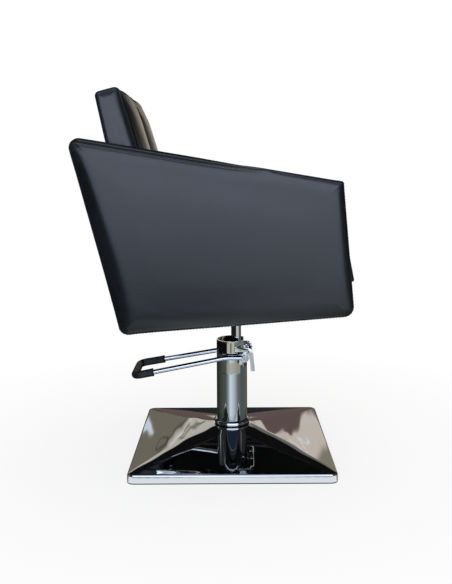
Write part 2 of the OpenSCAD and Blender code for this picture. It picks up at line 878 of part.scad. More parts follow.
// Depth of the two upright channels over the width: full at the crests, none at the seams.
function channel_at(share) = pow(abs(sin(180 * share)), channel_sharp);
back_shares = [-1, -0.94, -0.8, -0.5, -0.2, -0.07, -0.02, 0, 0.02, 0.07, 0.2, 0.5, 0.8, 0.94, 1];
back_bow_shares = [0, 0.1, 0.3, 0];
puff_rise_share = 0.2;

function back_corners(puff) = [
    [rear_u(back_foot), back_foot],
    [front_u(back_foot) - channel_depth + puff, back_foot],
    [front_u(back_top) - channel_depth + puff, back_top + puff * puff_rise_share],
    [rear_u(back_top - back_top_fall), back_top - back_top_fall]
];

back_radii = [12, 12, 32, 12];
function back_ring(inset, y, swell) =
    [for (p = outline(back_corners(channel_depth * swell), back_radii,
                      back_bow_shares * channel_depth, inset, swell)) [p[0], y, p[1]]];

module backrest_cushion() color(leather) {
    half = seat_w / 2;
    flat = half - back_edge_r;
    ends = end_stations(half, back_edge_r);
    seat_place() difference() {
        loft(concat(
            [for (e = ends) back_ring(e[0], -e[1], 0)],
            [for (s = back_shares) back_ring(0, s * flat, channel_at(s))],
            [for (e = reversed(ends)) back_ring(e[0], e[1], 0)]
        ));
        leaning(back_foot + back_board_low - slip_gap, back_top - back_board_high + slip_gap,
                -slip_gap, back_board_t + slip_gap, back_board_w + 2 * slip_gap);
        for (s = [-1, 1]) translate([0, s * bracket_y, 0])
            leaning(cushion_bottom - over, bracket_knee + bracket_rise + slip_gap,
                    -bracket_t - slip_gap, slip_gap, bracket_w + 2 * slip_gap);
    }
}

// Arms

arm_corners = [
    [-arm_foot_rear, 0], [arm_front, 0], [arm_front, arm_front_h], [-arm_top_rear, arm_rear_h]
];
arm_radii = [25, 18, 8, 23];
arm_draw_shares = [-0.5, -0.3, -0.6, -0.5];
crown_reach_shares = [0.55, 0.25];

module arm_board(s) {
    board = [for (i = [0 : len(arm_corners) - 1]) corner(arm_corners, i, 0, arm_board_inset)[0]];
    seat_place() difference() {
        translate([0, s * arm_mid + arm_board_t / 2, 0]) rotate([90, 0, 0])
            linear_extrude(arm_board_t) polygon(board);
        arm_bolt_holes(arm_in, fixing_d + slip_gap, arm_t / 2 - arm_board_t / 2 + arm_bolt_bite + over);
    }
}

module arm_board_left() color(plywood) arm_board(1);
module arm_board_right() color(plywood) arm_board(-1);

function arm_ring(inset, y) =
    [for (p = outline(arm_corners, arm_radii, arm_draw_shares * arm_crown, inset, 1))
        [p[0], y, p[1]]];

module arm_pad(s) {
    half = arm_t / 2;
    r = arm_edge_r;
    reach = (arm_front_h - r) / 2;
    face = half - arm_crown;
    stations = concat(
        [for (share = crown_reach_shares)
            [r + (reach - r) * share, face + arm_crown * (1 - pow(1 - share, 2))]],
        [for (a = end_turns) [r * (1 - cos(a)), face - r + r * sin(a)]],
        [[0, face - r]]
    );
    hollow = [for (i = [0 : len(arm_corners) - 1])
        corner(arm_corners, i, 0, arm_board_inset - slip_gap)[0]];
    seat_place() difference() {
        translate([0, s * arm_mid, 0]) loft(concat(
            [for (t = stations) arm_ring(t[0], -t[1])],
            [arm_ring(0, 0)],
            [for (t = reversed(stations)) arm_ring(t[0], t[1])]
        ));
        translate([0, s * arm_mid + arm_board_t / 2 + slip_gap, 0]) rotate([90, 0, 0])
            linear_extrude(arm_board_t + 2 * slip_gap) polygon(hollow);
        arm_bolt_holes(arm_in - over, fixing_d + 2 * arm_hole_gap, arm_t / 2);
    }
}

module arm_pad_left() color(leather) arm_pad(1);
module arm_pad_right() color(leather) arm_pad(-1);

module arm_bolts() color(steel) {
    seat_place() arm_bolt_places_at(frame_half - rail_t) rotate([180, 0, 0])
        socket_bolt(fixing_d,
                    rail_t + face_gap + arm_t / 2 - arm_board_t / 2 + arm_bolt_bite);
}

// Pedal

// Front of the yoke, seen from the side about the pivot, of thickness t.
module strap_front(t) {
    polygon([
        [strap_reach + strap_lean - t, -strap_down], [strap_reach + strap_lean, -strap_down],
        [strap_reach, strap_up - strap_bend_r], [strap_reach - t, strap_up - strap_bend_r]
    ]);
}

// Cheek of the yoke, seen from the side about the pivot: a strap that turns down in front.
module cheek_outline() {
    difference() {
        union() {
            translate([-strap_tail, strap_up - strap_end_h])
                square([strap_tail + strap_reach - strap_bend_r, strap_end_h]);
            strap_front(strap_w);
            translate([strap_reach - strap_bend_r, strap_up - strap_bend_r]) intersection() {
                circle(r = strap_bend_r);
                square(strap_bend_r);
            }
            circle(r = cheek_disc_r);
            translate([-tab_rear, -tab_down + tab_w / 2]) square([tab_w, tab_down]);
            translate([-tab_rear + tab_w / 2, -tab_down + tab_w / 2]) circle(d = tab_w);
        }
        circle(d = shoulder_d + 2 * run_gap);
    }
}

// Fork arm beside the cylinder, from the yoke's front to the cross pin.
module fork_outline() {
    difference() {
        union() {
            translate([-lever, -fork_h / 2]) square([lever + strap_reach, fork_h]);
            translate([-lever, 0]) circle(d = fork_h);
        }
        translate([-lever, 0]) circle(d = cross_pin_d + 2 * run_gap);
    }
}

module pedal_yoke() color(chrome) {
    translate([pivot_x, 0, pivot_z]) {
        for (s = [-1, 1]) {
            translate([0, s * (cheek_in + cheek_out) / 2, 0]) across(yoke_t) cheek_outline();
            translate([0, s * (fork_in + fork_out) / 2, 0]) across(fork_t) fork_outline();
        }
        across(2 * (cheek_in + over)) strap_front(yoke_t);
    }
}

// Half of the bar's route, from the eye to the middle of the crossbar, on side s.
bend_steps = 7;
knee_steps = 4;
bar_slack = 14;
function bar_half_path(s, start) =
    let (
        level = [pivot_x - bar_level, s * leg_y, pivot_z],
        bend = [-bar_reach, s * bar_half, pivot_z - bar_drop],
        along = unit(bend - level)
    )
    concat(
        start,
        bezier(level + [bar_slack, 0, 0], level, level + bar_slack * along, knee_steps),
        bezier(bend - bar_bend * along, bend, bend - [0, s * bar_bend, 0], bend_steps)
    );
function bar_path() = concat(
    bar_half_path(-1, [[pivot_x - eye_r, -leg_y, pivot_z]]),
    reversed(bar_half_path(1, [[pivot_x - eye_r, leg_y, pivot_z]]))
);

bar_sides = 16;
module pedal_bar() color(chrome) {
    difference() {
        union() {
            loft(bar_rings(bar_path(), bar_d / 2, bar_sides));
            for (s = [-1, 1]) {
                pivot_side(s, cheek_out) cylinder(r = eye_r, h = eye_t);
                translate([pivot_x - eye_r - bar_slack, s * (cheek_out + eye_t / 2), pivot_z])
                    translate([(eye_r + bar_slack) / 2, 0, 0])
                    cube([eye_r + bar_slack, eye_t, bar_d], center = true);
            }
        }
        for (s = [-1, 1]) pivot_side(s, 0)
            cylinder(d = shoulder_d + 2 * run_gap, h = bar_reach);
    }
}

// The grip follows the crossbar and part of each leg.
grip_sides = 20;
grip_flute = 0.5;
function grip_half_path(s, length) =
    let (
        level = [pivot_x - bar_level, s * leg_y, pivot_z],
        bend = [-bar_reach, s * bar_half, pivot_z - bar_drop],
        along = unit(bend - level)
    )
    concat(
        [bend - length * along],
        bezier(bend - bar_bend * along, bend, bend - [0, s * bar_bend, 0], bend_steps)
    );

module pedal_grip() color(black_rubber) {
    difference() {
        loft(bar_rings(concat(grip_half_path(-1, grip_near), reversed(grip_half_path(1, grip_far))),
                       grip_d / 2, grip_sides, grip_flute));
        loft(bar_rings(bar_path(), bar_d / 2 + run_gap, bar_sides));
    }
}

module cross_pin() color(steel) {
    translate([pivot_x - lever, fork_out, pivot_z]) rotate([90, 0, 0])
        cylinder(d = cross_pin_d, h = 2 * fork_out);
}

// Plunger

module pump_plunger() color(steel) {
    translate([-plunger_x, 0, plunger_bottom]) cylinder(d = plunger_d, h = plunger_h);
}

module spring_cup() color(steel) {
    translate([-plunger_x, 0, spring_top]) tube(cup_d, plunger_d + 2 * run_gap, cup_h - face_gap);
}

spring_steps = 12;
spring_sides = 6;
module plunger_spring() color(steel) {
    low = spring_bottom + spring_wire / 2;
    rise = spring_top - spring_bottom - spring_wire;
    count = spring_turns * spring_steps;
    loft(bar_rings([for (k = [0 : count])
        [-plunger_x + spring_d / 2 * cos(360 * k / spring_steps),
         spring_d / 2 * sin(360 * k / spring_steps),
         low + rise * k / count]], spring_wire / 2, spring_sides));
}

base_cover();
ballast_plate();
floor_gasket();
trim_ring();
pump_flange();
flange_bolts();
reservoir_tube();
pump_head();
filler_plug();
pump_cylinder();
cylinder_gland();
guide_bush();
wiper_seal();
upper_sleeve();
pivot_bolts();
piston();
piston_seal();
thrust_washer();
lift_rod();
piston_bolt();
seat_mount();
hub_screws();
mount_bolts();
seat_frame();
seat_board();
seat_cushion();
back_brackets();
bracket_bolts();
back_board();
backrest_cushion();
arm_board_left();
arm_board_right();
arm_pad_left();
arm_pad_right();
arm_bolts();
pedal_yoke();
pedal_bar();
pedal_grip();
cross_pin();
pump_plunger();
spring_cup();
plunger_spring();
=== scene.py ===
# Hydraulic hairdressing chair: the looks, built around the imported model. Metres, +X forward, +Z up.
import json
import math
import bmesh
import bpy
import numpy as np
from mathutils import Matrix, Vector


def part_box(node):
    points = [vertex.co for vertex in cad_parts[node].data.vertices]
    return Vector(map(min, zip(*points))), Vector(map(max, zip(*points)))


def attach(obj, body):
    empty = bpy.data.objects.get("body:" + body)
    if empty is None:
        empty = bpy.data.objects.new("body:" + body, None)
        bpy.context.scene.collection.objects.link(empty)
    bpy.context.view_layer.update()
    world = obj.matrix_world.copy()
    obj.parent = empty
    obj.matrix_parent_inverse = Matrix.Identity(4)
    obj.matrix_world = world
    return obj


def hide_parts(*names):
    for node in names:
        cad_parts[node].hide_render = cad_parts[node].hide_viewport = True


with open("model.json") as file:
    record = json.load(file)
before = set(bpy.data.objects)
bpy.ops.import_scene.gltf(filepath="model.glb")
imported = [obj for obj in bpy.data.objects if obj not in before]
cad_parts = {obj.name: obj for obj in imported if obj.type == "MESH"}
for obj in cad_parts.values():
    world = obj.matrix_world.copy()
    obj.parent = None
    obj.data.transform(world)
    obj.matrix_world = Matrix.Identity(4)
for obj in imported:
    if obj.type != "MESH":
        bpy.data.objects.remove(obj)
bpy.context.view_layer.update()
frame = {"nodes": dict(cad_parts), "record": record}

nodes = frame["nodes"]


# sRGB hex colour to the linear RGBA that a shader takes
def linear(hexText):
    srgb = np.array([int(hexText[k:k + 2], 16) for k in (1, 3, 5)]) / 255
    rgb = np.where(srgb <= 0.04045, srgb / 12.92, ((srgb + 0.055) / 1.055) ** 2.4)
    return (*rgb.tolist(), 1.0)


# Gives several properties of something their values
def setAll(owner, **values):
    for name, value in values.items():
        setattr(owner, name, value)


# Adds one shader node: settings are its own properties, inputs are values or sockets to link
def addNode(tree, kind, inputs=None, **settings):
    node = tree.nodes.new("ShaderNode" + kind)
    setAll(node, **settings)
    for name, value in (inputs or {}).items():
        if isinstance(value, bpy.types.NodeSocket):
            tree.links.new(value, node.inputs[name])
        else:
            node.inputs[name].default_value = value
    return node


# Empties the node tree of a material or world and gives it
def clearedTree(owner):
    owner.use_nodes = True
    owner.node_tree.nodes.clear()
    return owner.node_tree


# A material with its shader wired to the output, and the object coordinates that patterns read
def newMaterial(name, **shaderValues):
    material = bpy.data.materials.new(name)
    tree = clearedTree(material)
    shader = addNode(tree, "BsdfPrincipled", shaderValues)
    addNode(tree, "OutputMaterial", {"Surface": shader.outputs["BSDF"]})
    place = addNode(tree, "TexCoord").outputs["Object"]
    return material, tree, shader, place


# Noise pattern stretched to sizes in metres along each axis
def grainNoise(tree, place, size, detail, rough):
    scaled = addNode(tree, "Mapping", {"Vector": place, "Scale": [1 / s for s in size]})
    return addNode(tree, "TexNoise", {
        "Vector": scaled.outputs["Vector"], "Scale": 1.0, "Detail": detail, "Roughness": rough,
    }).outputs["Fac"]


# Values spread between low and high by a 0 to 1 pattern
def spread(tree, pattern, low, high, fromLow=0.3, fromHigh=0.7):
    return addNode(tree, "MapRange", {
        "Value": pattern, "From Min": fromLow, "From Max": fromHigh, "To Min": low, "To Max": high,
    }).outputs["Result"]


# Base colour that runs between two hex colours with a pattern
def addShades(tree, shader, pattern, first, second, fromLow=0.3, fromHigh=0.7):
    share = spread(tree, pattern, 0, 1, fromLow, fromHigh)
    mixed = addNode(tree, "Mix", {0: share, 6: linear(first), 7: linear(second)}, data_type="RGBA")
    tree.links.new(mixed.outputs[2], shader.inputs["Base Color"])


# Surface raised by a pattern
def addBump(tree, shader, height, strength, distance):
    bump = addNode(tree, "Bump", {"Strength": strength, "Distance": distance, "Height": height})
    tree.links.new(bump.outputs["Normal"], shader.inputs["Normal"])


# A material of one colour whose roughness runs from low to high with a grain, which may raise it too
def grained(name, hexText, size, detail, noiseRough, low, high, bump=None, **shaderValues):
    material, tree, shader, place = newMaterial(name, **shaderValues, **{"Base Color": linear(hexText)})
    grain = grainNoise(tree, place, size, detail, noiseRough)
    tree.links.new(spread(tree, grain, low, high), shader.inputs["Roughness"])
    if bump:
        addBump(tree, shader, grain, *bump)
    return material


# Materials

leatherLook = {
    "charcoal": "#0e1114", "charcoalLight": "#171b20", "shadeFrom": (0.15, 0.38), "rough": (0.30, 0.39),
    "grain": 0.0011, "streak": (0.045, 0.045, 0.0035), "patch": 0.16, "bump": (0.35, 0.00012),
}


# PVC-coated fabric, embossed and calendered: satin, near-black, with a faint lengthwise grain
def leatherette():
    look = leatherLook
    material, tree, shader, place = newMaterial(
        "leatherette_embossed_vinyl", IOR=1.5, **{"Coat Weight": 0.28, "Coat Roughness": 0.24})
    streaks = grainNoise(tree, place, look["streak"], 4.0, 0.6)
    patches = grainNoise(tree, place, (look["patch"],) * 3, 2.0, 0.5)
    both = addNode(tree, "Math", {0: streaks, 1: patches}, operation="MULTIPLY").outputs[0]
    addShades(tree, shader, both, look["charcoal"], look["charcoalLight"], *look["shadeFrom"])
    tree.links.new(spread(tree, streaks, *look["rough"]), shader.inputs["Roughness"])
    cells = addNode(tree, "TexVoronoi", {"Vector": place, "Scale": 1 / look["grain"]})
    pores = addNode(tree, "Math", {0: cells.outputs["Distance"], 1: streaks}, operation="ADD").outputs[0]
    addBump(tree, shader, pores, *look["bump"])
    return material


# Moulded natural rubber: black, matt, slightly dusty
def mouldedRubber():
    material, tree, shader, place = newMaterial("rubber_moulded", IOR=1.52)
    dust = grainNoise(tree, place, (0.012,) * 3, 4.0, 0.6)
    addShades(tree, shader, dust, "#131415", "#202224")
    tree.links.new(spread(tree, dust, 0.42, 0.6), shader.inputs["Roughness"])
    addBump(tree, shader, dust, 0.25, 0.0002)
    return material


# Rotary-cut birch plywood: pale, with long cathedral grain
def birchPly():
    material, tree, shader, place = newMaterial("plywood_birch_raw", IOR=1.5, Roughness=0.72)
    addShades(tree, shader, grainNoise(tree, place, (0.16, 0.012, 0.16), 5.0, 0.6), "#b9925f", "#d2b083")
    return material


# Spun-bonded lining cloth stapled round a plywood box: black, matt, with crossing fibres
def liningCloth():
    material, tree, shader, place = newMaterial("cloth_spunbonded_black", IOR=1.45, Roughness=0.85)
    across = grainNoise(tree, place, (0.0012, 0.009, 0.009), 3.0, 0.6)
    along = grainNoise(tree, place, (0.009, 0.0012, 0.009), 3.0, 0.6)
    fibres = addNode(tree, "Math", {0: across, 1: along}, operation="MAXIMUM").outputs[0]
    addShades(tree, shader, fibres, "#0c0d0e", "#1a1b1d", 0.4, 0.7)
    addBump(tree, shader, fibres, 0.4, 0.0003)
    return material


finish = {
    "leatherette": leatherette(),
    # Bright nickel-chrome plate: a mirror with faint smears
    "chrome": grained("chrome_plated_polished_steel", "#d3d6d9", (0.09, 0.09, 0.05), 4.0, 0.6, 0.01, 0.035,
                      Metallic=1.0),
    # Zinc plate on turned or rolled steel: grey metal with a soft sheen
    "steel": grained("steel_zinc_plated", "#a4a8ab", (0.006,) * 3, 4.0, 0.6, 0.26, 0.42, Metallic=1.0),
    # Sand-cast iron, machined where it seats: dull dark grey with a sandy skin
    "cast_iron": grained("cast_iron_sand_cast", "#55595d", (0.0016,) * 3, 5.0, 0.65, 0.48, 0.66,
                         (0.5, 0.0003), Metallic=0.85),
    # Stoved black enamel on welded steel: dark, semi-gloss, with a little orange peel
    "black_enamel": grained("enamel_black_stoved", "#17181a", (0.0025,) * 3, 3.0, 0.5, 0.3, 0.42,
                            (0.3, 0.0002), IOR=1.5),
    # Sintered bronze, oil filled: warm brown metal, fairly dull
    "bronze": grained("bronze_sintered", "#a9824a", (0.0008,) * 3, 4.0, 0.6, 0.34, 0.5, Metallic=1.0),
    "black_rubber": mouldedRubber(), "plywood": birchPly(), "frame_cloth": liningCloth(),
}
slotOf = {p["node"]: p["material_slot"] for p in frame["record"]["subparts"]}
for name, piece in nodes.items():
    piece.data.materials.clear()
    piece.data.materials.append(finish[slotOf[name]])
print("materials: CAD nodes dressed")


# Stage: floor, the room that shiny surfaces see, lamps and camera

def smoothStep(low, high, x):
    t = np.clip((x - low) / (high - low), 0, 1)
    return t * t * (3 - 2 * t)


# 1 inside low..high, falling to 0 over soft on both sides
def window(x, low, high, soft):
    return smoothStep(low - soft, low, x) * (1 - smoothStep(high, high + soft, x))


# Object from vertices and faces, smooth all over, or from a mesh that is there already
def addPiece(name, vertices=(), faces=(), mesh=None):
    if mesh is None:
        mesh = bpy.data.meshes.new(name)
        mesh.from_pydata(vertices, [], faces)
    mesh.polygons.foreach_set("use_smooth", np.ones(len(mesh.polygons), bool))
    mesh.update()
    piece = bpy.data.objects.new(name, mesh)
    bpy.context.scene.collection.objects.link(piece)
    return piece


# Mesh from a grid of points (rows, columns, 3). Closed flags join the last row or column to the
# first, poles close the first and last rows with a fan, and a closed mesh is turned to face outwards
def gridMesh(name, points, closedRows=False, closedCols=True, poles=False):
    rows, cols = points.shape[:2]
    index = np.arange(rows * cols).reshape(rows, cols)
    if closedRows:
        index = np.vstack([index, index[:1]])
    if closedCols:
        index = np.hstack([index, index[:, :1]])
    quads = np.stack([index[:-1, :-1], index[:-1, 1:], index[1:, 1:], index[1:, :-1]], -1).reshape(-1, 4)
    flat = points.reshape(-1, 3)
    a, b, c, d = (flat[quads[:, k]] for k in range(4))
    volume = (a * np.cross(b, c)).sum() + (a * np.cross(c, d)).sum()
    faces = quads.tolist()
    if poles:
        flat = np.vstack([flat, points[0].mean(0), points[-1].mean(0)])
        first, last = len(flat) - 2, len(flat) - 1
        fan = np.stack([np.full(cols, first), index[0, 1:], index[0, :-1]], -1)
        faces += fan.tolist()
        fan = np.stack([np.full(cols, last), index[-1, :-1], index[-1, 1:]], -1)
        faces += fan.tolist()
    if volume < 0 and (closedRows or poles):
        faces = [face[::-1] for face in faces]
    return addPiece(name, flat.tolist(), faces)


# A finished piece: its material, its slot, the body it rides on and the CAD nodes it stands for
def finishPiece(piece, slotName, body, *replaced):
    piece.data.materials.append(finish[slotName])
    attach(piece, body)
    if replaced:
        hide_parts(*replaced)
    return piece


room = {
    "radius": 3.5, "height": 3.0, "eye": 0.25, "floorLevel": -0.004,
    "reachRuns": [(0.01, 0.6, 50), (0.62, 1.6, 50), (2.0, 2.6, 2), (3.5, 3.5, 1)],
    "riseRuns": [(0.02, 0.7, 24), (0.73, 1.4, 110), (1.43, 3.0, 40)], "roofRuns": [(3.5, 0.01, 16)],
    "backHalf": 22, "fineTurn": 0.2, "coarseTurn": 1.0, "paneLowGain": 0.35,
    "behind": [("off", 55, 30)], "paneAt": [("azimuth", -27, 33, 8), ("rise", 62, 48)],
    "strips": [(0.21, ("azimuth", 68, 76, 2), ("rise", -3, 40, 4)),
               (0.7, ("azimuth", -104, -97, 2), ("rise", -3, 40, 4))],
    "floorKeys": [(-180, "#24272a"), (-142, "#262b25"), (-118, "#31352f"), (-80, "#4c524a"), (-44, "#5a615b"),
                  (-27, "#93a5ad"), (-11, "#eef8ff"), (12, "#c9d9e0"), (28, "#a9b1b4"), (42, "#7a7d7d"),
                  (72, "#5c6262"), (104, "#5f6764"), (132, "#6a675f"), (165, "#2c2b27"), (180, "#24272a")],
}
roomTones = {
    "side": "#272b2a", "ceiling": "#3a3835", "pane": "#d3dcf2", "paneLow": "#8fa3ad", "navy": "#22344a",
    "dark": "#1c1d1b", "tan": "#c9b9a6", "brown": "#685854", "grey": "#70716c", "low": "#4a4740",
    "warm": "#b9b4a2", "sage": "#7b8680", "leftDark": "#7a7466", "leftLight": "#cbc6ba",
    "rightLight": "#d9cdc1", "spot": "#dfe9f2", "floorBright": "#f2f5f7",
}

# What the room shows, as marks laid one over the other: tone, gain and bounds. A bound is a measure that
# covers more from low to high, or with a fourth value holds between the two and fades over it outside
roomMarks = {
    "wall": [("ceiling", 1.0, ("rise", 10, 60))],
    "back": [("leftDark", 1.0, ("rise", 7, 9))],
    "backLeft": [
        ("leftLight", 1.0, ("step", -0.6, 0.5)),
        ("leftLight", 1.3, ("step", 0.55, 0.8, 0.1), ("rise", 11, 17, 1)),
        ("leftDark", 0.6, ("step", -0.5, -0.3, 0.1), ("rise", 11, 17, 1)),
        ("leftDark", 1.0, ("step", 1.5, 1.65, 0.1)),
        ("brown", 1.0, ("waved", 10.5, 10.2), ("off", 3, 12.5, 0.4)),
        ("spot", 1.0, ("rise", 9.7, 10.7, 0.3), ("off", 16.9, 18.1, 0.4)),
        ("leftDark", 0.35, ("leaf", 0.78, 0.95, 0.08)),
        ("leftDark", 0.35, ("fold", 0, 0.1, 0.06), ("off", 12.2, 14.6, 0.3)),
        ("leftDark", 0.35, ("fold", 0.32, 0.4, 0.06), ("off", 12.2, 14.6, 0.3)),
    ],
    "backRight": [
        ("rightLight", 1.0, ("rise", 9, 10)),
        ("brown", 1.0, ("waved", 13.5, 13.3), ("off", 2.5, 15.1, 0.3)),
        ("rightLight", 1.2, ("shine", 0.6, 0.8, 0.1), ("off", 15, 18.6, 0.4)),
        ("leftDark", 1.5, ("shine", 1.2, 1.3, 0.1), ("off", 9, 18, 0.4)),
        ("rightLight", 1.2, ("shine", 1.8, 2.0, 0.1), ("off", 9, 20, 0.4)),
        ("leftDark", 1.4, ("outer", 18.4, 19.8)),
        ("spot", 1.2, ("curl", -0.1, 0.1, 0.1), ("rise", 12.0, 13.3, 0.1)),
        ("grey", 1.0, ("rise", 15.8, 16.6)),
        ("tan", 2.0, ("rise", 15.8, 16.6), ("off", 0, 5, 4)),
    ],
    "backBoth": [("tan", 2.1, ("off", 0, 3.5, 2.5), ("rise", 5, 17, 3)), ("dark", 0.5, ("rise", 22.5, 24))],
    "pane": [("pane", 3.4, ("rise", -16, 16)), ("navy", 1.0, ("rise", 24, 31))],
    "front": [("pane", 1.5, ("azimuth", -40, 40, 20), ("rise", 50, 78, 7))],
    "floor": [
        ("warm", 1.0, ("most",), ("reach", 0.80, 0.95, 0.015), ("azimuth", -36, 62, 5)),
        ("dark", 0.4, ("reach", 1.07, 1.28, 0.015), ("azimuth", -140, -38, 3)),
        ("warm", 1.3, ("reach", 1.07, 1.28, 0.015), ("azimuth", -34, 20, 3)),
        ("dark", 0.4, ("reach", 1.07, 1.28, 0.015), ("azimuth", -9, -4, 2)),
        ("sage", 1.0, ("reach", 1.07, 1.28, 0.015), ("azimuth", 22, 100, 6)),
        ("dark", 1.5, ("reach", 1.30, 1.33), ("azimuth", 8, -4)),
        ("floorBright", 0.75, ("reach", 1.30, 1.33), ("azimuth", 14, 58, 6)),
        ("grey", 0.7, ("reach", 1.30, 1.33), ("azimuth", 62, 72)),
        ("floorBright", 1.17, ("x", -0.29, 0.29, 0.06), ("y", -0.30, -0.24, 0.01)),
    ],
}


# Shade that runs through keys of (place, sRGB hex)
def shadeAlong(place, keys):
    tones = np.array([linear(k[1])[:3] for k in keys])
    return np.stack([np.interp(place, [k[0] for k in keys], tones[:, c]) for c in range(3)], -1)


# How far bounds cover each point
def coverOf(bounds, measures):
    cover = 1.0
    for name, *edges in bounds:
        x = measures[name]
        cover = cover * (window(x, *edges) if len(edges) == 3 else smoothStep(*edges, x) if edges else x)
    return cover[..., None]


# Lays a list of marks over a base colour
def layMarks(base, marks, measures, tones):
    for tone, gain, *bounds in marks:
        base = base + (tones[tone] * gain - base) * coverOf(bounds, measures)
    return base


# Measures at points of the room: azimuth from the camera's side, off from the side opposite, rise over
# the eye and lines along which the reflections at the back run, in degrees; x, y and reach in metres
def roomMeasures(points):
    x, y, z = points[..., 0], points[..., 1], points[..., 2]
    azimuth, reach = np.degrees(np.arctan2(x, -y)), np.hypot(x, y)
    rise = np.degrees(np.arctan2(z - room["eye"], reach))
    off = 180 - np.abs(azimuth)
    wobble = 0.12 * np.sin(2.1 * off) + 0.06 * np.sin(5.3 * off + 1.0)
    return {
        "x": x, "y": y, "reach": reach, "rise": rise, "azimuth": azimuth, "off": off, "most": 0.75,
        "left": (azimuth < 0) * 1.0, "right": (azimuth > 0) * 1.0, "waved": rise + wobble,
        "step": rise - 10.8 - 0.42 * (off - 9) + wobble,
        "shine": rise - 13.0 - 0.5 * np.sin(1.3 * (off - 14)),
        "outer": off + 0.4 * (rise - 13),
        "curl": off - 16.5 - 0.35 * (rise - 12.6) - 0.75 * np.cos(2 * np.pi * (rise - 12.2) / 1.05),
        "leaf": np.hypot((off - 16.4) / 0.95, (rise - 13.1 - 0.25 * (off - 16.4)) / 0.42),
        "fold": rise - 12.9 - 0.6 * (off - 12.5) + 0.15 * np.sin(3 * off),
    }


# Colour that the room shows at each point: a tall pane in front, dark sides, and behind taupe walls
# with a brown cupboard, where the base's side slopes look
def roomTone(points):
    tones = {k: np.array(linear(v)[:3]) for k, v in roomTones.items()}
    at, blank = roomMeasures(points), 0 * points
    wall = layMarks(tones["side"] + blank, roomMarks["wall"], at, tones)
    back = layMarks(tones["low"] + blank, roomMarks["back"], at, tones)
    for side in ("left", "right"):
        marks = roomMarks["back" + side.capitalize()]
        back = back + (layMarks(back, marks, at, tones) - back) * at[side][..., None]
    back = layMarks(back, roomMarks["backBoth"], at, tones)
    pane = layMarks(tones["paneLow"] * room["paneLowGain"] + blank, roomMarks["pane"], at, tones)
    for layer, bounds in ((back, room["behind"]), (pane, room["paneAt"])):
        wall = wall + (layer - wall) * coverOf(bounds, at)
    wall = layMarks(wall, roomMarks["front"], at, tones)
    for gain, *bounds in room["strips"]:
        wall = wall + tones["pane"] * gain * coverOf(bounds, at)
    ground = layMarks(shadeAlong(at["azimuth"], room["floorKeys"]), roomMarks["floor"], at, tones)
    return np.where((points[..., 2] < 0.001)[..., None], ground, wall)


# Evenly spaced values, run after run of (first, last, count)
def inRuns(runs):
    return np.concatenate([np.linspace(*run) for run in runs])


# The room is a profile turned round the chair: out along the floor, up the wall and in over the top.
# Its columns are finest behind the chair, where the base's slopes mirror it
def buildRoom():
    floorReach, wallRise, roofReach = (inRuns(room[k]) for k in ("reachRuns", "riseRuns", "roofRuns"))
    reach = np.concatenate([floorReach, np.full(len(wallRise), room["radius"]), roofReach])
    rise = np.concatenate([np.full(len(floorReach), room["floorLevel"]), wallRise,
                           np.full(len(roofReach), room["height"])])
    edge = 180 - room["backHalf"]
    turn = np.radians(np.concatenate([np.arange(-180, -edge, room["fineTurn"]),
                                      np.arange(-edge, edge, room["coarseTurn"]),
                                      np.arange(edge, 180, room["fineTurn"])]))
    points = np.stack([np.outer(reach, np.sin(turn)), -np.outer(reach, np.cos(turn)),
                       np.outer(rise, np.ones_like(turn))], -1)
    piece = gridMesh("stage_room", points)
    tone = np.concatenate([roomTone(points), np.ones(points.shape[:2] + (1,))], -1)
    layer = piece.data.color_attributes.new("tone", "FLOAT_COLOR", "POINT")
    layer.data.foreach_set("color", tone.reshape(-1).astype(np.float32))
    material = bpy.data.materials.new("stage_room_tone")
    tree = clearedTree(material)
    tone = addNode(tree, "Attribute", attribute_name="tone").outputs["Color"]
    glow = addNode(tree, "Emission", {"Color": tone, "Strength": 1.0})
    addNode(tree, "OutputMaterial", {"Surface": glow.outputs["Emission"]})
    material.cycles.emission_sampling = "NONE"
    piece.data.materials.append(material)
    setAll(piece, visible_camera=False, visible_diffuse=False, visible_transmission=False,
           visible_volume_scatter=False, visible_shadow=False)


floorLook = {
    "reach": 30.0, "white": "#ffffff", "bounce": "#b5b2ae", "shade": 0.16, "shadeNear": 0.3, "shadeFar": 1.1,
}


# White floor: mostly its own light for the camera, and a share that takes the chair's shadow
def buildFloor():
    corners = np.array([[[-1, -1, 0], [1, -1, 0]], [[-1, 1, 0], [1, 1, 0]]], float) * floorLook["reach"]
    piece = gridMesh("stage_floor", corners, closedCols=False)
    material = bpy.data.materials.new("stage_floor_white")
    tree = clearedTree(material)
    glow = addNode(tree, "Emission", {"Color": linear(floorLook["white"]), "Strength": 1.0})
    matt = addNode(tree, "BsdfDiffuse", {"Color": linear(floorLook["white"])})
    place = addNode(tree, "TexCoord").outputs["Object"]
    away = addNode(tree, "VectorMath", {0: place}, operation="LENGTH").outputs["Value"]
    shade = spread(tree, away, floorLook["shade"], 0.0, floorLook["shadeNear"], floorLook["shadeFar"])
    mixed = addNode(tree, "MixShader", {0: shade, 1: glow.outputs[0], 2: matt.outputs[0]})
    grey = addNode(tree, "BsdfDiffuse", {"Color": linear(floorLook["bounce"])})
    path = addNode(tree, "LightPath")
    shown = addNode(tree, "MixShader", {
        0: path.outputs["Is Camera Ray"], 1: grey.outputs[0], 2: mixed.outputs[0]})
    addNode(tree, "OutputMaterial", {"Surface": shown.outputs[0]})
    piece.data.materials.append(material)
    piece.visible_glossy = False


worldLook = {"light": 0.12, "seen": 1.0}


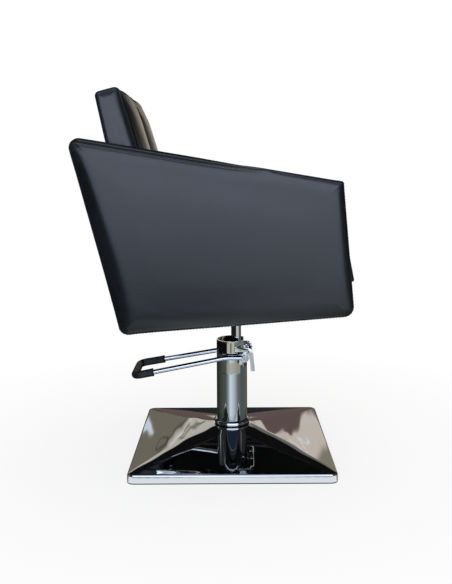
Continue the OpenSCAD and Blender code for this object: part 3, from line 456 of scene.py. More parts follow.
# World: white to the camera, plain grey light for the surfaces
def buildWorld():
    world = bpy.data.worlds.new("plain_studio")
    bpy.context.scene.world = world
    tree = clearedTree(world)
    path = addNode(tree, "LightPath")
    seen = addNode(tree, "Math", {0: path.outputs["Is Camera Ray"], 1: path.outputs["Is Transmission Ray"]},
                   operation="MAXIMUM").outputs[0]
    level = spread(tree, seen, worldLook["light"], worldLook["seen"], 0, 1)
    sky = addNode(tree, "Background", {"Color": (1, 1, 1, 1), "Strength": level})
    addNode(tree, "OutputWorld", {"Surface": sky.outputs[0]})


lamps = {
    "front": {"place": (-0.9, -3.4, 1.9), "aim": (0, 0, 0.5), "size": 2.4, "watts": 84, "tint": "#eef4ff"},
    "top": {"place": (0.4, 0.2, 3.4), "aim": (0, 0, 0.4), "size": 2.0, "watts": 30, "tint": "#fffaf2"},
    "back": {"place": (1.8, 2.9, 1.8), "aim": (0, 0, 0.5), "size": 2.4, "watts": 26, "tint": "#fff4e6"},
}


def buildLamps():
    for name, look in lamps.items():
        light = bpy.data.lights.new("lamp_" + name, "AREA")
        setAll(light, shape="SQUARE", size=look["size"], energy=look["watts"], color=linear(look["tint"])[:3])
        lamp = bpy.data.objects.new("lamp_" + name, light)
        ahead = Vector(look["aim"]) - Vector(look["place"])
        setAll(lamp, location=look["place"], rotation_euler=ahead.to_track_quat("-Z", "Y").to_euler(),
               visible_glossy=False, visible_camera=False)
        bpy.context.scene.collection.objects.link(lamp)


cameraView = {
    "place": (0.0, -1.98, 0.735), "roll": 0.3, "lens": 45.06, "sensor": 36.0,
    "shiftX": -0.0083, "shiftY": -0.2031,
}


def buildCamera():
    camera = bpy.data.cameras.new("camera")
    setAll(camera, sensor_width=cameraView["sensor"], lens=cameraView["lens"],
           shift_x=cameraView["shiftX"], shift_y=cameraView["shiftY"])
    holder = bpy.data.objects.new("camera", camera)
    holder.location = cameraView["place"]
    holder.rotation_euler = (math.radians(90), math.radians(cameraView["roll"]), 0)
    bpy.context.scene.collection.objects.link(holder)
    bpy.context.scene.camera = holder


buildRoom()
buildFloor()
buildWorld()
buildLamps()
buildCamera()
bpy.context.scene.view_settings.view_transform = "Standard"
print("stage: room, floor, lamps and camera")

# Base and column

plate = {
    "side": 0.503, "corner": 0.018, "rim": 0.022, "edge": 0.005, "peak": 0.062, "landing": 0.049,
    "hole": 0.042, "sheet": 0.002, "foot": 0.0025, "wall": 0.012, "roundest": 0.97, "perCorner": 100,
    "edgeRings": 14, "slopeRings": 120, "crowding": 0.9, "underEvery": 12, "underShare": 0.9915,
    "bulge": 0.014, "crown": 0.0008, "frontCalm": 0.85, "calmFrom": (0, 0.3), "settleFrom": (0, 0.10),
    "settleTo": (0.9, 1),
    "waves": [(0.00018, 0.17, 35, 0.4), (0.00015, 0.12, 110, 1.9), (0.00008, 0.083, 70, 3.1),
              (0.00005, 0.064, 150, 0.7), (0.00003, 0.045, 15, 2.2)],
}


# Ring of a square with round corners, seen from above: each quarter turns about its own centre
def squareRing(half, radius):
    quarter = np.linspace(0, math.pi / 2, plate["perCorner"])
    turn = (np.arange(4)[:, None] * math.pi / 2 + quarter).ravel()
    lean = np.repeat(np.arange(4) * math.pi / 2 + math.pi / 4, plate["perCorner"])
    x = (half - radius)[:, None] * np.cos(lean) * math.sqrt(2) + radius[:, None] * np.cos(turn)
    y = (half - radius)[:, None] * np.sin(lean) * math.sqrt(2) + radius[:, None] * np.sin(turn)
    return x, y


# Pressed base cover: square rings that shrink to the column's round hole while their corners grow,
# half = outer + (landing - outer) s, corner = corner (1 - s) + landing s + 4 bulge s (1 - s), and shallow
# dents, the sum of size sin(2 pi (x cos a + y sin a) / wide + phase)
def coverSkin():
    look, outer = plate, plate["side"] / 2
    slope = math.atan((look["peak"] - look["rim"]) / (outer - look["landing"]))
    turn = np.linspace(0, math.pi / 2 - slope, look["edgeRings"])
    pull = look["edge"] * (1 - np.cos(turn))
    share = np.linspace(0, 1, look["slopeRings"])[1:] ** look["crowding"]
    arch = 4 * share * (1 - share)
    start, startCorner = outer - pull[-1], look["corner"] - pull[-1]
    half = np.concatenate([[outer, outer], outer - pull, start + (look["landing"] - start) * share])
    corner = np.concatenate([[look["corner"]] * 2, look["corner"] - pull,
                             startCorner * (1 - share) + look["landing"] * look["roundest"] * share
                             + look["bulge"] * arch])
    rimTop = look["rim"] - look["edge"] + look["edge"] * np.sin(turn)
    height = np.concatenate([[look["foot"], look["wall"]], rimTop,
                             rimTop[-1] + (look["peak"] - rimTop[-1]) * share + look["crown"] * arch])
    x, y = squareRing(half, np.minimum(corner, half * look["roundest"]))
    dent = 0
    for size, wide, angle, phase in look["waves"]:
        a = math.radians(angle)
        dent = dent + size * np.sin(2 * math.pi * (x * math.cos(a) + y * math.sin(a)) / wide + phase)
    dent = dent * (1 - look["frontCalm"] * smoothStep(*look["calmFrom"], (-y - np.abs(x)) / half[:, None]))
    settle = smoothStep(*look["settleFrom"], share) * (1 - smoothStep(*look["settleTo"], share))
    settle = np.concatenate([np.zeros(len(height) - len(share)), settle])
    return np.stack([x, y, height[:, None] + dent * settle[:, None]], -1)


def buildBaseCover():
    skin, sheet = coverSkin(), [0, 0, plate["sheet"]]
    under = skin[::-plate["underEvery"]] * [plate["underShare"], plate["underShare"], 1] - sheet
    under[..., 2] = np.maximum(under[..., 2], plate["foot"])
    under = under[under[:, 0, 2] > plate["foot"]]
    x, y = squareRing(np.full(1, plate["hole"]), np.full(1, plate["hole"] * 0.999))
    lip = np.stack([x, y, np.full_like(x, plate["peak"])], -1)
    foot = np.copy(under[-1:])
    foot[..., 2] = plate["foot"]
    points = np.concatenate([skin, lip, lip - sheet, under, foot])
    finishPiece(gridMesh("base_cover_skin", points, closedRows=True), "chrome", "base", "base_cover")


def unit(v):
    return v / np.linalg.norm(v, axis=-1, keepdims=True)


# Angles of one full turn in even steps
def fullTurn(steps):
    return np.linspace(0, 2 * math.pi, steps, endpoint=False)


# Places along a path of points, by its lengths so far
def alongPath(place, lengths, path):
    return np.stack([np.interp(place, lengths, path[:, k]) for k in range(3)], -1)


# Points of a profile of (radius, height) run round an upright axis through the origin
def spun(profile, steps):
    radius, height = np.array(profile).T
    turn = fullTurn(steps)
    return np.stack([np.outer(radius, np.cos(turn)), np.outer(radius, np.sin(turn)),
                     np.outer(height, np.ones_like(turn))], -1)


# Quarter-round corner of a turned profile: from angle to angle, in degrees, about a centre
def rounded(centre, radius, first, last, steps=6):
    angle = np.radians(np.linspace(first, last, steps))
    return [(centre[0] + radius * math.cos(a), centre[1] + radius * math.sin(a)) for a in angle]


ringLook = {"inner": 0.0412, "foot": 0.062, "high": 0.015, "reach": 0.0075}


# Bead at the column's foot: half an ellipse swept round, on a straight inner wall
def buildRing():
    look = ringLook
    middle = look["foot"] + look["high"] / 2
    bead = [(look["inner"] + look["reach"] * math.cos(a), middle + look["high"] / 2 * math.sin(a))
            for a in np.linspace(-math.pi / 2, math.pi / 2, 30)]
    finishPiece(gridMesh("trim_ring_bead", spun(bead, 256), closedRows=True), "chrome", "base", "trim_ring")


column = {"wall": 0.0025, "edge": 0.0007}


# Lower tube of the column: a plain turned tube whose rounded ends leave a fine joint line
def buildColumnTube():
    low, high = (corner[2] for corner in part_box("reservoir_tube"))
    outer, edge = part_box("reservoir_tube")[1][0], column["edge"]
    inner = outer - column["wall"]
    wallRings = [(outer, low + 3 * edge), (outer, high - 3 * edge)]
    profile = rounded((outer - edge, low + edge), edge, -90, 0) + wallRings \
        + rounded((outer - edge, high - edge), edge, 0, 90)
    points = spun(profile + [(inner, high), (inner, low)], 256)
    finishPiece(gridMesh("column_tube", points, closedRows=True), "chrome", "base", "reservoir_tube")


buildBaseCover()
buildRing()
buildColumnTube()
print("base: cover, ring and column tube")

# Copy of a CAD node with its triangles joined and its edges broken by a small round bevel
def softened(name, source, slotName, body, width):
    work = bmesh.new()
    work.from_mesh(nodes[source].data)
    bmesh.ops.remove_doubles(work, verts=work.verts, dist=1e-6)
    bmesh.ops.dissolve_limit(work, angle_limit=math.radians(1), verts=work.verts, edges=work.edges)
    mesh = bpy.data.meshes.new(name)
    work.to_mesh(mesh)
    work.free()
    piece = addPiece(name, mesh=mesh)
    bevel = piece.modifiers.new("edges", "BEVEL")
    setAll(bevel, width=width, segments=3, limit_method="ANGLE", angle_limit=math.radians(35),
           harden_normals=True)
    return finishPiece(piece, slotName, body, source)


# Path through corner points, each cut back on both sides and bridged by a parabola, evenly spaced
def roundedPath(corners, cuts, spacing):
    corners = np.array(corners)
    t = np.linspace(0, 1, 24)[:, None]
    run = [corners[:1]]
    for k, cut in enumerate(cuts, 1):
        first = corners[k] + unit(corners[k - 1] - corners[k]) * cut
        last = corners[k] + unit(corners[k + 1] - corners[k]) * cut
        run.append(first * (1 - t) ** 2 + corners[k] * 2 * t * (1 - t) + last * t ** 2)
    path = np.concatenate(run + [corners[-1:]])
    along = np.concatenate([[0], np.cumsum(np.linalg.norm(np.diff(path, axis=0), axis=1))])
    place = np.linspace(0, along[-1], round(along[-1] / spacing))
    return alongPath(place, along, path), place


# Round bar or sleeve swept along a path: radius is an array of path points by sides
def sweep(name, path, radius, slotName, body, *replaced):
    ahead = unit(np.gradient(path, axis=0))
    side = unit(np.cross(ahead, [0, 0, 1]))
    up = np.cross(side, ahead)
    turn = fullTurn(radius.shape[1])
    spoke = side[:, None] * np.cos(turn)[:, None] + up[:, None] * np.sin(turn)[:, None]
    piece = gridMesh(name, path[:, None] + spoke * radius[..., None], poles=True)
    return finishPiece(piece, slotName, body, *replaced)


pedal = {
    "pivot": (0.0325, 0.248), "cheek": 0.045, "bar": 0.0125, "eye": 0.0095, "eyeEdge": 0.0008, "bore": 0.0052,
    "level": 0.050, "reach": 0.2555, "half": 0.065, "drop": 0.042, "knee": 0.014, "bend": 0.022,
    "spacing": 0.002, "grip": 0.020, "gripNear": 0.051, "gripFar": 0.070, "flutes": 20, "flute": 0.0006,
    "lip": 0.0011, "lipRun": 0.003, "chamfer": 0.0012, "chamferRun": 0.0008,
}


# Pedal bar: a U of round bar from eye to eye, with a knee before each eye and two round corners
def pedalCorners():
    legY = pedal["cheek"] + pedal["bar"] / 2
    x, z = pedal["pivot"]
    half = [(x - pedal["eye"] / 2, -legY, z), (x - pedal["level"], -legY, z),
            (-pedal["reach"], -pedal["half"], z - pedal["drop"])]
    return np.array(half + [(p[0], -p[1], p[2]) for p in half[::-1]])


# The grip is moulded with flutes: radius = half its width - flute (1 - cos(flutes angle)) / 2, plus a
# lip at each end, lip exp(-(distance / lipRun)^2) - chamfer exp(-(distance / chamferRun)^2)
def buildPedal():
    look, corners = pedal, pedalCorners()
    cuts = [look["knee"], look["bend"], look["bend"], look["knee"]]
    path = roundedPath(corners, cuts, look["spacing"])[0]
    sweep("pedal_bar_tube", path, np.full((len(path), 32), look["bar"] / 2), "chrome", "pedal", "pedal_bar")
    buildEyes()
    leg, farLeg = unit(corners[1] - corners[2]), unit(corners[4] - corners[3])
    ends = corners[2] + leg * look["gripNear"], corners[3] + farLeg * look["gripFar"]
    path, along = roundedPath([ends[0], corners[2], corners[3], ends[1]], cuts[1:3], look["spacing"] / 2)
    turn = fullTurn(look["flutes"] * 6)
    fromEnd = np.minimum(along, along[-1] - along)[:, None]
    fluted = 1 - np.exp(-(fromEnd / look["lipRun"]) ** 4)
    lip = look["lip"] * np.exp(-(fromEnd / look["lipRun"]) ** 2) \
        - look["chamfer"] * np.exp(-(fromEnd / look["chamferRun"]) ** 2)
    radius = look["grip"] / 2 + lip - look["flute"] * fluted * (1 - np.cos(look["flutes"] * turn)) / 2
    sweep("pedal_grip_rubber", path, radius, "black_rubber", "pedal", "pedal_grip")


# Eyes of the bar: rounded rings about the pivot, turned from a closed profile of (radius, across)
def buildEyes():
    width, outer, bore, edge = pedal["bar"] / 2, pedal["eye"], pedal["bore"], pedal["eyeEdge"]
    profile = [(bore, 0), (bore, width)] + rounded((outer - edge, width - edge), edge, 90, 0) \
        + rounded((outer - edge, edge), edge, 0, -90)
    ring = spun(profile, 96)[..., [0, 2, 1]] + [pedal["pivot"][0], pedal["cheek"], pedal["pivot"][1]]
    for side, name in ((-1, "near"), (1, "far")):
        piece = gridMesh("pedal_eye_" + name, ring * [1, side, 1], closedRows=True)
        finishPiece(piece, "chrome", "pedal")


buildPedal()
softened("pedal_yoke_strap", "pedal_yoke", "chrome", "pedal", 0.0018)
softened("pivot_bolt_heads", "pivot_bolts", "chrome", "base", 0.0007)
print("pedal: bar, grip, yoke and bolts")

# Upholstery. All of it is drawn level in the seat's own frame, forward, across and up, then tipped back

seatFrame = {"tilt": 4.4, "datum": 0.3809, "rodX": sum(c[0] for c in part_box("lift_rod")) / 2}


# Turns level seat points by the tilt about the rod's datum and moves them there
def seatPlace(points):
    turn = math.radians(seatFrame["tilt"])
    forward, across, up = points[..., 0], points[..., 1], points[..., 2]
    return np.stack([
        seatFrame["rodX"] + forward * math.cos(turn) - up * math.sin(turn),
        across,
        seatFrame["datum"] + forward * math.sin(turn) + up * math.cos(turn),
    ], -1)


def leftOf(v):
    return np.stack([-v[..., 1], v[..., 0]], -1)


outlineLook = {"leastRadius": 0.12, "arcPart": 0.08}


# An outline of straight sides and round corners, as stations every few millimetres. Each station
# knows its corner, and its share of that corner's arc or of the side that follows it
def makeOutline(corners, radii, spacing, arcSteps=16):
    corners = np.array(corners, float)
    side = unit(np.roll(corners, -1, 0) - corners)
    normalIn, normalOut = leftOf(np.roll(side, 1, 0)), leftOf(side)
    dot = (normalIn * normalOut).sum(-1)
    cross = normalIn[:, 0] * normalOut[:, 1] - normalIn[:, 1] * normalOut[:, 0]
    corner, arcShare, sideShare = [], [], []
    for i in range(len(corners)):
        steps = max(3, round(np.linalg.norm(corners[(i + 1) % len(corners)] - corners[i]) / spacing))
        corner += [i] * (arcSteps + steps)
        arcShare += list(np.linspace(0, 1, arcSteps + 1)) + [1] * (steps - 1)
        sideShare += [0] * (arcSteps + 1) + list(np.arange(1, steps) / steps)
    return {
        "corners": corners, "radii": np.array(radii, float), "normalIn": normalIn, "normalOut": normalOut,
        "bisect": (normalIn + normalOut) / (1 + dot)[:, None],
        "first": np.arctan2(-normalIn[:, 1], -normalIn[:, 0]), "turn": np.arctan2(cross, dot),
        "corner": np.array(corner), "arcShare": np.array(arcShare), "sideShare": np.array(sideShare),
    }


# Point on a corner's arc: the arc's centre moves in along the bisector while its radius shrinks, and
# far inside the radius grows again, which keeps the faces there from crowding
def arcPoint(shape, i, share, inset):
    full = shape["radii"][i]
    least = outlineLook["leastRadius"]
    radius = np.maximum(full - inset, least * full) + least * np.maximum(inset - full, 0)
    middle = shape["corners"][i] + shape["bisect"][i] * (inset + radius)[..., None]
    angle = shape["first"][i] + shape["turn"][i] * share
    return middle + radius[..., None] * np.stack([np.cos(angle), np.sin(angle)], -1)


# Outline at an inset: on a side, a straight line between its two arcs' ends
def outlineAt(shape, inset):
    i = shape["corner"]
    start = arcPoint(shape, i, shape["arcShare"], inset)
    end = arcPoint(shape, (i + 1) % len(shape["corners"]), 0.0, inset)
    return start + (end - start) * shape["sideShare"][:, None]


# Outward normal of the outline at each station: it turns with the arc and stays put along a side
def outlineNormal(shape):
    i = shape["corner"]
    angle = shape["first"][i] + shape["turn"][i] * shape["arcShare"]
    return np.stack([np.cos(angle), np.sin(angle)], -1)


# Values set at (corner, share of the side after it) and eased between, smoothed over a short run
def alongOutline(shape, keys, smoothing=7):
    part = outlineLook["arcPart"]
    position = shape["corner"] + np.where(shape["sideShare"] > 0, part + (1 - part) * shape["sideShare"],
                                          part * shape["arcShare"])
    places = [k[0] for k in keys]
    count = len(shape["corners"])
    values = np.interp(position, places + [places[0] + count], [k[1] for k in keys] + [keys[0][1]],
                       period=count)
    weights = np.hanning(2 * smoothing + 3)[1:-1]
    padded = np.concatenate([values[-smoothing:], values, values[:smoothing]])
    return np.convolve(padded, weights / weights.sum(), "valid")


# Distance to the outline's sides without a crease where two are as near: (sum of 1 / d^4) ^ (-1 / 4)
def softDistance(shape, flat):
    away = ((flat[..., None, :] - shape["corners"]) * shape["normalOut"]).sum(-1)
    return (np.maximum(away, 1e-3) ** -4.0).sum(-1) ** -0.25


# Length of the roll, a quarter ellipse: pi / 2 sqrt((in^2 + down^2) / 2)
def rollLength(rollIn, rollDown):
    return math.pi / 2 * np.sqrt((rollIn ** 2 + rollDown ** 2) / 2)


# Point of a padded slab at a distance over its rolled edge. Negative: on the band, across the slab.
# From 0 to the roll's length: a quarter ellipse from band to face. Past it: on the face, inwards
def slabPoint(shape, distance, half, rollIn, rollDown, crown, crownReach):
    length = rollLength(rollIn, rollDown)
    turn = np.clip(1 - distance / length, 0, 1) * math.pi / 2
    onFace = np.maximum(distance - length, 0)
    inset = rollIn * (1 - np.sin(turn)) + onFace
    flat = outlineAt(shape, inset)
    dome = crown * smoothStep(0, crownReach, softDistance(shape, flat) - np.max(rollIn))
    across = half - rollDown * (1 - np.cos(turn)) + np.minimum(distance, 0) + dome
    return np.stack([flat[..., 0], across, flat[..., 1]], -1)


# Normals of a cover, a grid closed along its columns, turned so that they point away from its middle
def outwardNormals(points):
    down = np.gradient(points, axis=0)
    along = np.roll(points, -1, 1) - np.roll(points, 1, 1)
    normal = unit(np.cross(down, along) + 1e-12)
    return normal * np.sign((normal * (points - points.mean((0, 1)))).sum())


seamLook = {
    "grooveWide": 0.0016, "ridge": 0.36, "ridgeAt": 0.0046, "ridgeWide": 0.0026, "dip": 0.3, "dipWide": 0.001,
}


# A sewn seam: a narrow groove with a low ridge on each side, and a shallow dip under the stitches, each
# exp(-((offset - its place) / its width)^2) deep
def seamRelief(offset, depth, stitchAt):
    look = seamLook
    groove = -depth * np.exp(-(offset / look["grooveWide"]) ** 2)
    ridge = look["ridge"] * depth * np.exp(-((np.abs(offset) - look["ridgeAt"]) / look["ridgeWide"]) ** 2)
    dip = -look["dip"] * depth * np.exp(-((offset - stitchAt) / look["dipWide"]) ** 2)
    return groove + ridge + dip


thread = {
    "pitch": 0.0074, "share": 0.78, "radius": 0.0008, "lift": 0.0005, "sunk": 0.4, "rings": 5, "sides": 6,
}


# A row of stitches: short waisted rods that follow a path and sink into the cover at their ends,
# radius = thread's * sqrt(1 - (2 t - 1)^4), centre raised by lift * (sin(pi t) - sunk)
def stitchPoints(path, normal):
    pitch, share, lift = thread["pitch"], thread["share"], thread["lift"]
    step = np.linalg.norm(np.diff(path, axis=0), axis=1)
    along = np.concatenate([[0], np.cumsum(step)])
    t = np.linspace(0, 1, thread["rings"])
    place = (np.arange(int(along[-1] / pitch))[:, None] + 0.5 - share / 2 + share * t[None, :]) * pitch
    centre, up = alongPath(place, along, path), unit(alongPath(place, along, normal))
    side = unit(np.cross(unit(np.gradient(centre, axis=1)), up))
    swell = np.sqrt(np.clip(1 - (2 * t - 1) ** 4, 0.04, 1))[None, :, None, None]
    centre = centre + up * (lift * np.sin(math.pi * t) - thread["sunk"] * lift)[None, :, None]
    turn = fullTurn(thread["sides"])
    spoke = side[:, :, None] * np.cos(turn)[:, None] + up[:, :, None] * np.sin(turn)[:, None]
    return centre[:, :, None] + spoke * thread["radius"] * swell


def stitchMesh(name, groups):
    points = np.concatenate(groups)
    count, rings, sides = points.shape[:3]
    index = np.arange(count * rings * sides).reshape(count, rings, sides)
    after = np.roll(index, -1, 2)
    quads = np.stack([index[:, :-1], after[:, :-1], after[:, 1:], index[:, 1:]], -1).reshape(-1, 4)
    caps = np.concatenate([index[:, 0, ::-1], index[:, -1]])
    return addPiece(name, points.reshape(-1, 3).tolist(), quads.tolist() + caps.tolist())


# Rows of stitches along some rows of a cover
def addStitching(name, points, normal, rows):
    groups = [stitchPoints(points[r], normal[r]) for r in rows]
    finishPiece(stitchMesh(name, groups), "leatherette", "seat")


cloth = {
    "frames": 20, "pressure": 4.0, "spacing": 0.008, "everyColumn": 3, "mass": 0.3, "stretch": 15.0,
    "shear": 5.0, "bend": 0.5, "startIn": 0.85, "grip": 0.012, "smoothings": 6, "taut": 240,
    "tautFrom": (0.012, 0.06), "levelAt": (0.05, 0.08, 0.01), "flatFrom": (0.018, 0.05),
}


# Values known on some rows or columns, laid over all of them in proportion to the length between
def spreadAlong(values, places, length):
    i = np.clip(np.searchsorted(length[places], length, side="right") - 1, 0, len(places) - 2)
    gap = np.maximum(length[places][i + 1] - length[places][i], 1e-9)
    share = ((length - length[places][i]) / gap)[:, None, None]
    return values[i] * (1 - share) + values[i + 1] * share


# Padding: every few rows and columns of a cover are a cloth, held where the cover is sewn and blown up
# by pressure. The cover starts smaller, by startIn * cap * (1 - exp(-(distance to the seam / grip)^2)).
# What the cloth gains along its normals, as cap * gain / (cap + gain), is spread back over the whole
# grid and smoothed, and where inward is given, faces that lie farther in than flatFrom are levelled
def inflate(points, seamDistance, cap, inward=None):
    free = 1 - np.exp(-(seamDistance / cloth["grip"]) ** 2)
    cap = np.broadcast_to(cap, (len(points),))[:, None]
    start = points - outwardNormals(points) * (cloth["startIn"] * cap * free)[..., None]
    travel = np.concatenate([[0], np.cumsum(np.linalg.norm(np.diff(start, axis=0), axis=-1).mean(1))])
    sewn = np.flatnonzero(np.abs(seamDistance).max(1) < 1e-6)
    rows = np.searchsorted(travel, np.arange(0, travel[-1], cloth["spacing"]))
    rows = np.unique(np.concatenate([rows, sewn, [len(points) - 1]]))
    cols = np.arange(0, points.shape[1], cloth["everyColumn"])
    piece = gridMesh("cloth_start", start[rows][:, cols], poles=True)
    pins = piece.vertex_groups.new(name="sewn")
    held = np.flatnonzero(np.isin(rows, sewn))
    pins.add((held[:, None] * len(cols) + np.arange(len(cols))).ravel().tolist(), 1.0, "REPLACE")
    moved = simulate(piece)[:len(rows) * len(cols)].reshape(len(rows), len(cols), 3) - start[rows][:, cols]
    outward = outwardNormals(start)
    sampled = outward[rows][:, cols]
    proud = (moved * sampled).sum(-1, keepdims=True)
    limit = cap[rows][..., None]
    moved = sampled * limit * proud / (limit + np.abs(proud))
    moved = spreadAlong(moved, rows, travel)
    closed = np.concatenate([moved, moved[:, :1]], 1).transpose(1, 0, 2)
    station = np.arange(points.shape[1] + 1.0)
    moved = spreadAlong(closed, np.append(cols, points.shape[1]), station)[:-1].transpose(1, 0, 2)
    for _ in range(cloth["smoothings"]):
        moved[1:-1] = moved[1:-1] / 2 + (moved[:-2] + moved[2:]) / 4
        moved = aroundSmoothed(moved)
    taut = moved
    for _ in range(cloth["taut"]):
        taut = aroundSmoothed(taut)
    moved = moved + (taut - moved) * smoothStep(*cloth["tautFrom"], seamDistance)[..., None]
    blown = start + moved * free[..., None]
    if inward is not None:
        rim = window(inward, *cloth["levelAt"])[..., None]
        level = ((outward * moved).sum(-1, keepdims=True) * rim).sum() / rim.sum()
        share = smoothStep(*cloth["flatFrom"], inward)[..., None]
        side = np.sign(points[..., 1:2]) * [0, 1, 0]
        blown = blown + (points + side * (level - cloth["startIn"] * cap[..., None]) - blown) * share
    return blown


# One pass of smoothing round the closed columns
def aroundSmoothed(values):
    return values / 2 + (np.roll(values, 1, 1) + np.roll(values, -1, 1)) / 4


# Runs the cloth on a mesh whose sewn vertices are pinned, and gives the places of its vertices after it
def simulate(piece):
    modifier = piece.modifiers.new("cloth", "CLOTH")
    setAll(modifier.settings, mass=cloth["mass"], tension_stiffness=cloth["stretch"],
           compression_stiffness=cloth["stretch"], shear_stiffness=cloth["shear"],
           bending_stiffness=cloth["bend"], vertex_group_mass="sewn", use_pressure=True,
           uniform_pressure_force=cloth["pressure"])
    modifier.settings.effector_weights.gravity = 0
    modifier.collision_settings.use_collision = False
    modifier.point_cache.frame_end = cloth["frames"]
    scene = bpy.context.scene
    for k in range(1, cloth["frames"] + 1):
        scene.frame_set(k)
    blown = piece.evaluated_get(bpy.context.evaluated_depsgraph_get()).data
    places = np.empty(len(blown.vertices) * 3)
    blown.vertices.foreach_get("co", places)
    bpy.data.objects.remove(piece)
    scene.frame_set(1)
    return places.reshape(-1, 3)


# Distances from the seam at which rows are laid, close together over the seam itself
fineRun = np.array([0, 0.5, 1.0, 1.5, 2.0, 2.6, 3.2, 3.9, 4.8, 6, 7.5, 9.5, 12, 15, 18, 21, 24.5, 28,
                    32, 36, 41, 46, 52, 60]) / 1000

arm = {
    "corners": [(-0.2695, 0), (0.2745, 0), (0.2745, 0.3145), (-0.361, 0.4745)],
    "radii": [0.025, 0.024, 0.008, 0.023], "spacing": 0.004, "half": 0.035, "middle": 0.267,
    "rollIn": [(0, 0.036), (0.5, 0.022), (1, 0.022), (1.97, 0.018), (2.04, 0.009), (2.30, 0.009),
               (2.46, 0.015), (3, 0.016), (3.2, 0.030), (3.7, 0.044)],
    "rollDown": [(0, 0.022), (0.5, 0.014), (1, 0.014), (1.97, 0.012), (2.04, 0.008), (2.30, 0.008),
                 (2.46, 0.014), (3, 0.014), (3.2, 0.022), (3.7, 0.026)],
    "seam": [(0, -0.002), (0.2, -0.010), (1, -0.010), (2, -0.010), (2.28, -0.006), (2.36, 0.005),
             (2.46, 0.0150), (2.6, 0.0185), (3, 0.0185), (3.12, 0.0075), (3.9, 0.0045)],
    "droop": [(0, 0.0032), (0.06, 0.0012), (0.1, 0), (2, 0), (2.12, 0.0016), (2.45, 0.0014), (2.6, 0), (3, 0),
              (3.9, 0), (3.97, 0.0012)],
    "crown": 0.0010, "reach": 0.135, "seamDepth": 0.0027, "stitchAt": 0.0048, "cap": 0.0025,
    "bandRows": 12, "bandCrowding": 0.6, "nearRows": 8, "faceRows": 8,
}


# Arm panel: rows from the band's middle out over the seam and the roll to the middle of each face, and
# the two of them that carry stitches
def armGrid(side):
    shape = makeOutline(arm["corners"], arm["radii"], arm["spacing"])
    rollIn, rollDown = alongOutline(shape, arm["rollIn"]), alongOutline(shape, arm["rollDown"])
    seam = alongOutline(shape, arm["seam"], 5)
    bandHalf = arm["half"] - rollDown
    toSeam = (1 - np.linspace(0, 1, arm["bandRows"])[:-1] ** arm["bandCrowding"])[:, None]
    near = -fineRun[arm["nearRows"]:0:-1, None] + 0 * seam
    band = seam + near[0] - (bandHalf + seam + near[0]) * toSeam
    over = seam + fineRun[:, None]
    faceEnd = rollLength(rollIn, rollDown) + arm["reach"] - rollIn
    face = over[-1] + (faceEnd - over[-1]) * np.linspace(0, 1, arm["faceRows"])[1:, None]
    distance = np.concatenate([band, seam + near, over, face])
    half = slabPoint(shape, distance, arm["half"], rollIn, rollDown, arm["crown"], arm["reach"] / 2)
    points = np.concatenate([half[:0:-1] * [1, -1, 1], half])
    points[..., 2] -= alongOutline(shape, arm["droop"], 4)
    offset = distance - seam
    offset = np.concatenate([offset[:0:-1], offset])
    points = inflate(points, np.abs(offset), arm["cap"], softDistance(shape, points[..., [0, 2]]))
    normal = outwardNormals(points)
    points = points + normal * seamRelief(offset, arm["seamDepth"], arm["stitchAt"])[..., None]
    points[..., 1] += side * arm["middle"]
    row = len(half) - 1 + len(band) + len(near) + int(np.argmin(np.abs(fineRun - arm["stitchAt"])))
    return seatPlace(points), normal, [row, len(points) - 1 - row]


def buildArm(side, name):
    points, normal, rows = armGrid(side)
    piece = gridMesh("arm_cover_" + name, points, poles=True)
    finishPiece(piece, "leatherette", "seat", "arm_pad_" + name)
    addStitching("arm_stitching_" + name, points, normal, rows)


buildArm(1, "left")
buildArm(-1, "right")
print("arms: covers and stitching")


back = {
    "foot": 0.072, "top": 0.587, "topFall": 0.011, "footRear": 0.226, "footFront": 0.1075,
    "leanRear": 8.1, "leanFront": 12.4, "depth": 0.017, "half": 0.230,
    "radii": [0.012, 0.012, 0.014, 0.012], "spacing": 0.004,
    "rollIn": [(0, 0.014), (0.9, 0.014), (1.1, 0.024), (2, 0.024), (2.95, 0.021), (3.1, 0.012), (3.9, 0.012)],
    "rollDown": [(0, 0.013), (0.9, 0.013), (1.1, 0.019), (1.95, 0.019), (2.1, 0.013), (3.9, 0.013)],
    "deepest": 0.019, "sharp": 0.36, "reach": 0.026,
    "bandRows": 151, "crowding": 0.86, "seamRows": (7, 14), "faceRows": 6,
    "puff": [(0, 0.0), (0.5, 0.15), (1, 0.85), (1.1, 1.0), (1.9, 1.0), (2.0, 0.5), (2.06, 0.1), (2.5, 0.1),
             (3, 0.05), (3.1, 0)],
    "seamAt": 0.0070, "seamDepth": 0.0016, "stitchAt": 0.0032, "cap": 0.005, "endCap": 0.0008,
}


# Rows of a sewn end, from the band's edge over the seam and the roll to the middle of the end: their
# places and their distances from the seam
def endRows(shape, look, rollIn, rollDown):
    before, after = look["seamRows"]
    seam = np.full(len(shape["corner"]), look["seamAt"])
    over = np.concatenate([-fineRun[1:before][::-1], fineRun[:after]])[:, None] + seam
    faceEnd = rollLength(rollIn, rollDown) + look["reach"] - rollIn
    face = over[-1] + (faceEnd - over[-1]) * np.linspace(0, 1, look["faceRows"])[1:, None]
    rows = np.concatenate([0 * seam[None], over[over[:, 0] > 0.0005], face])
    return slabPoint(shape, rows, look["half"], rollIn, rollDown, 0.0, look["reach"]), rows - seam


# Forward place of a face of the backrest at a height
def leaningFace(foot, lean, height):
    return -foot - (height - back["foot"]) * math.tan(math.radians(lean))


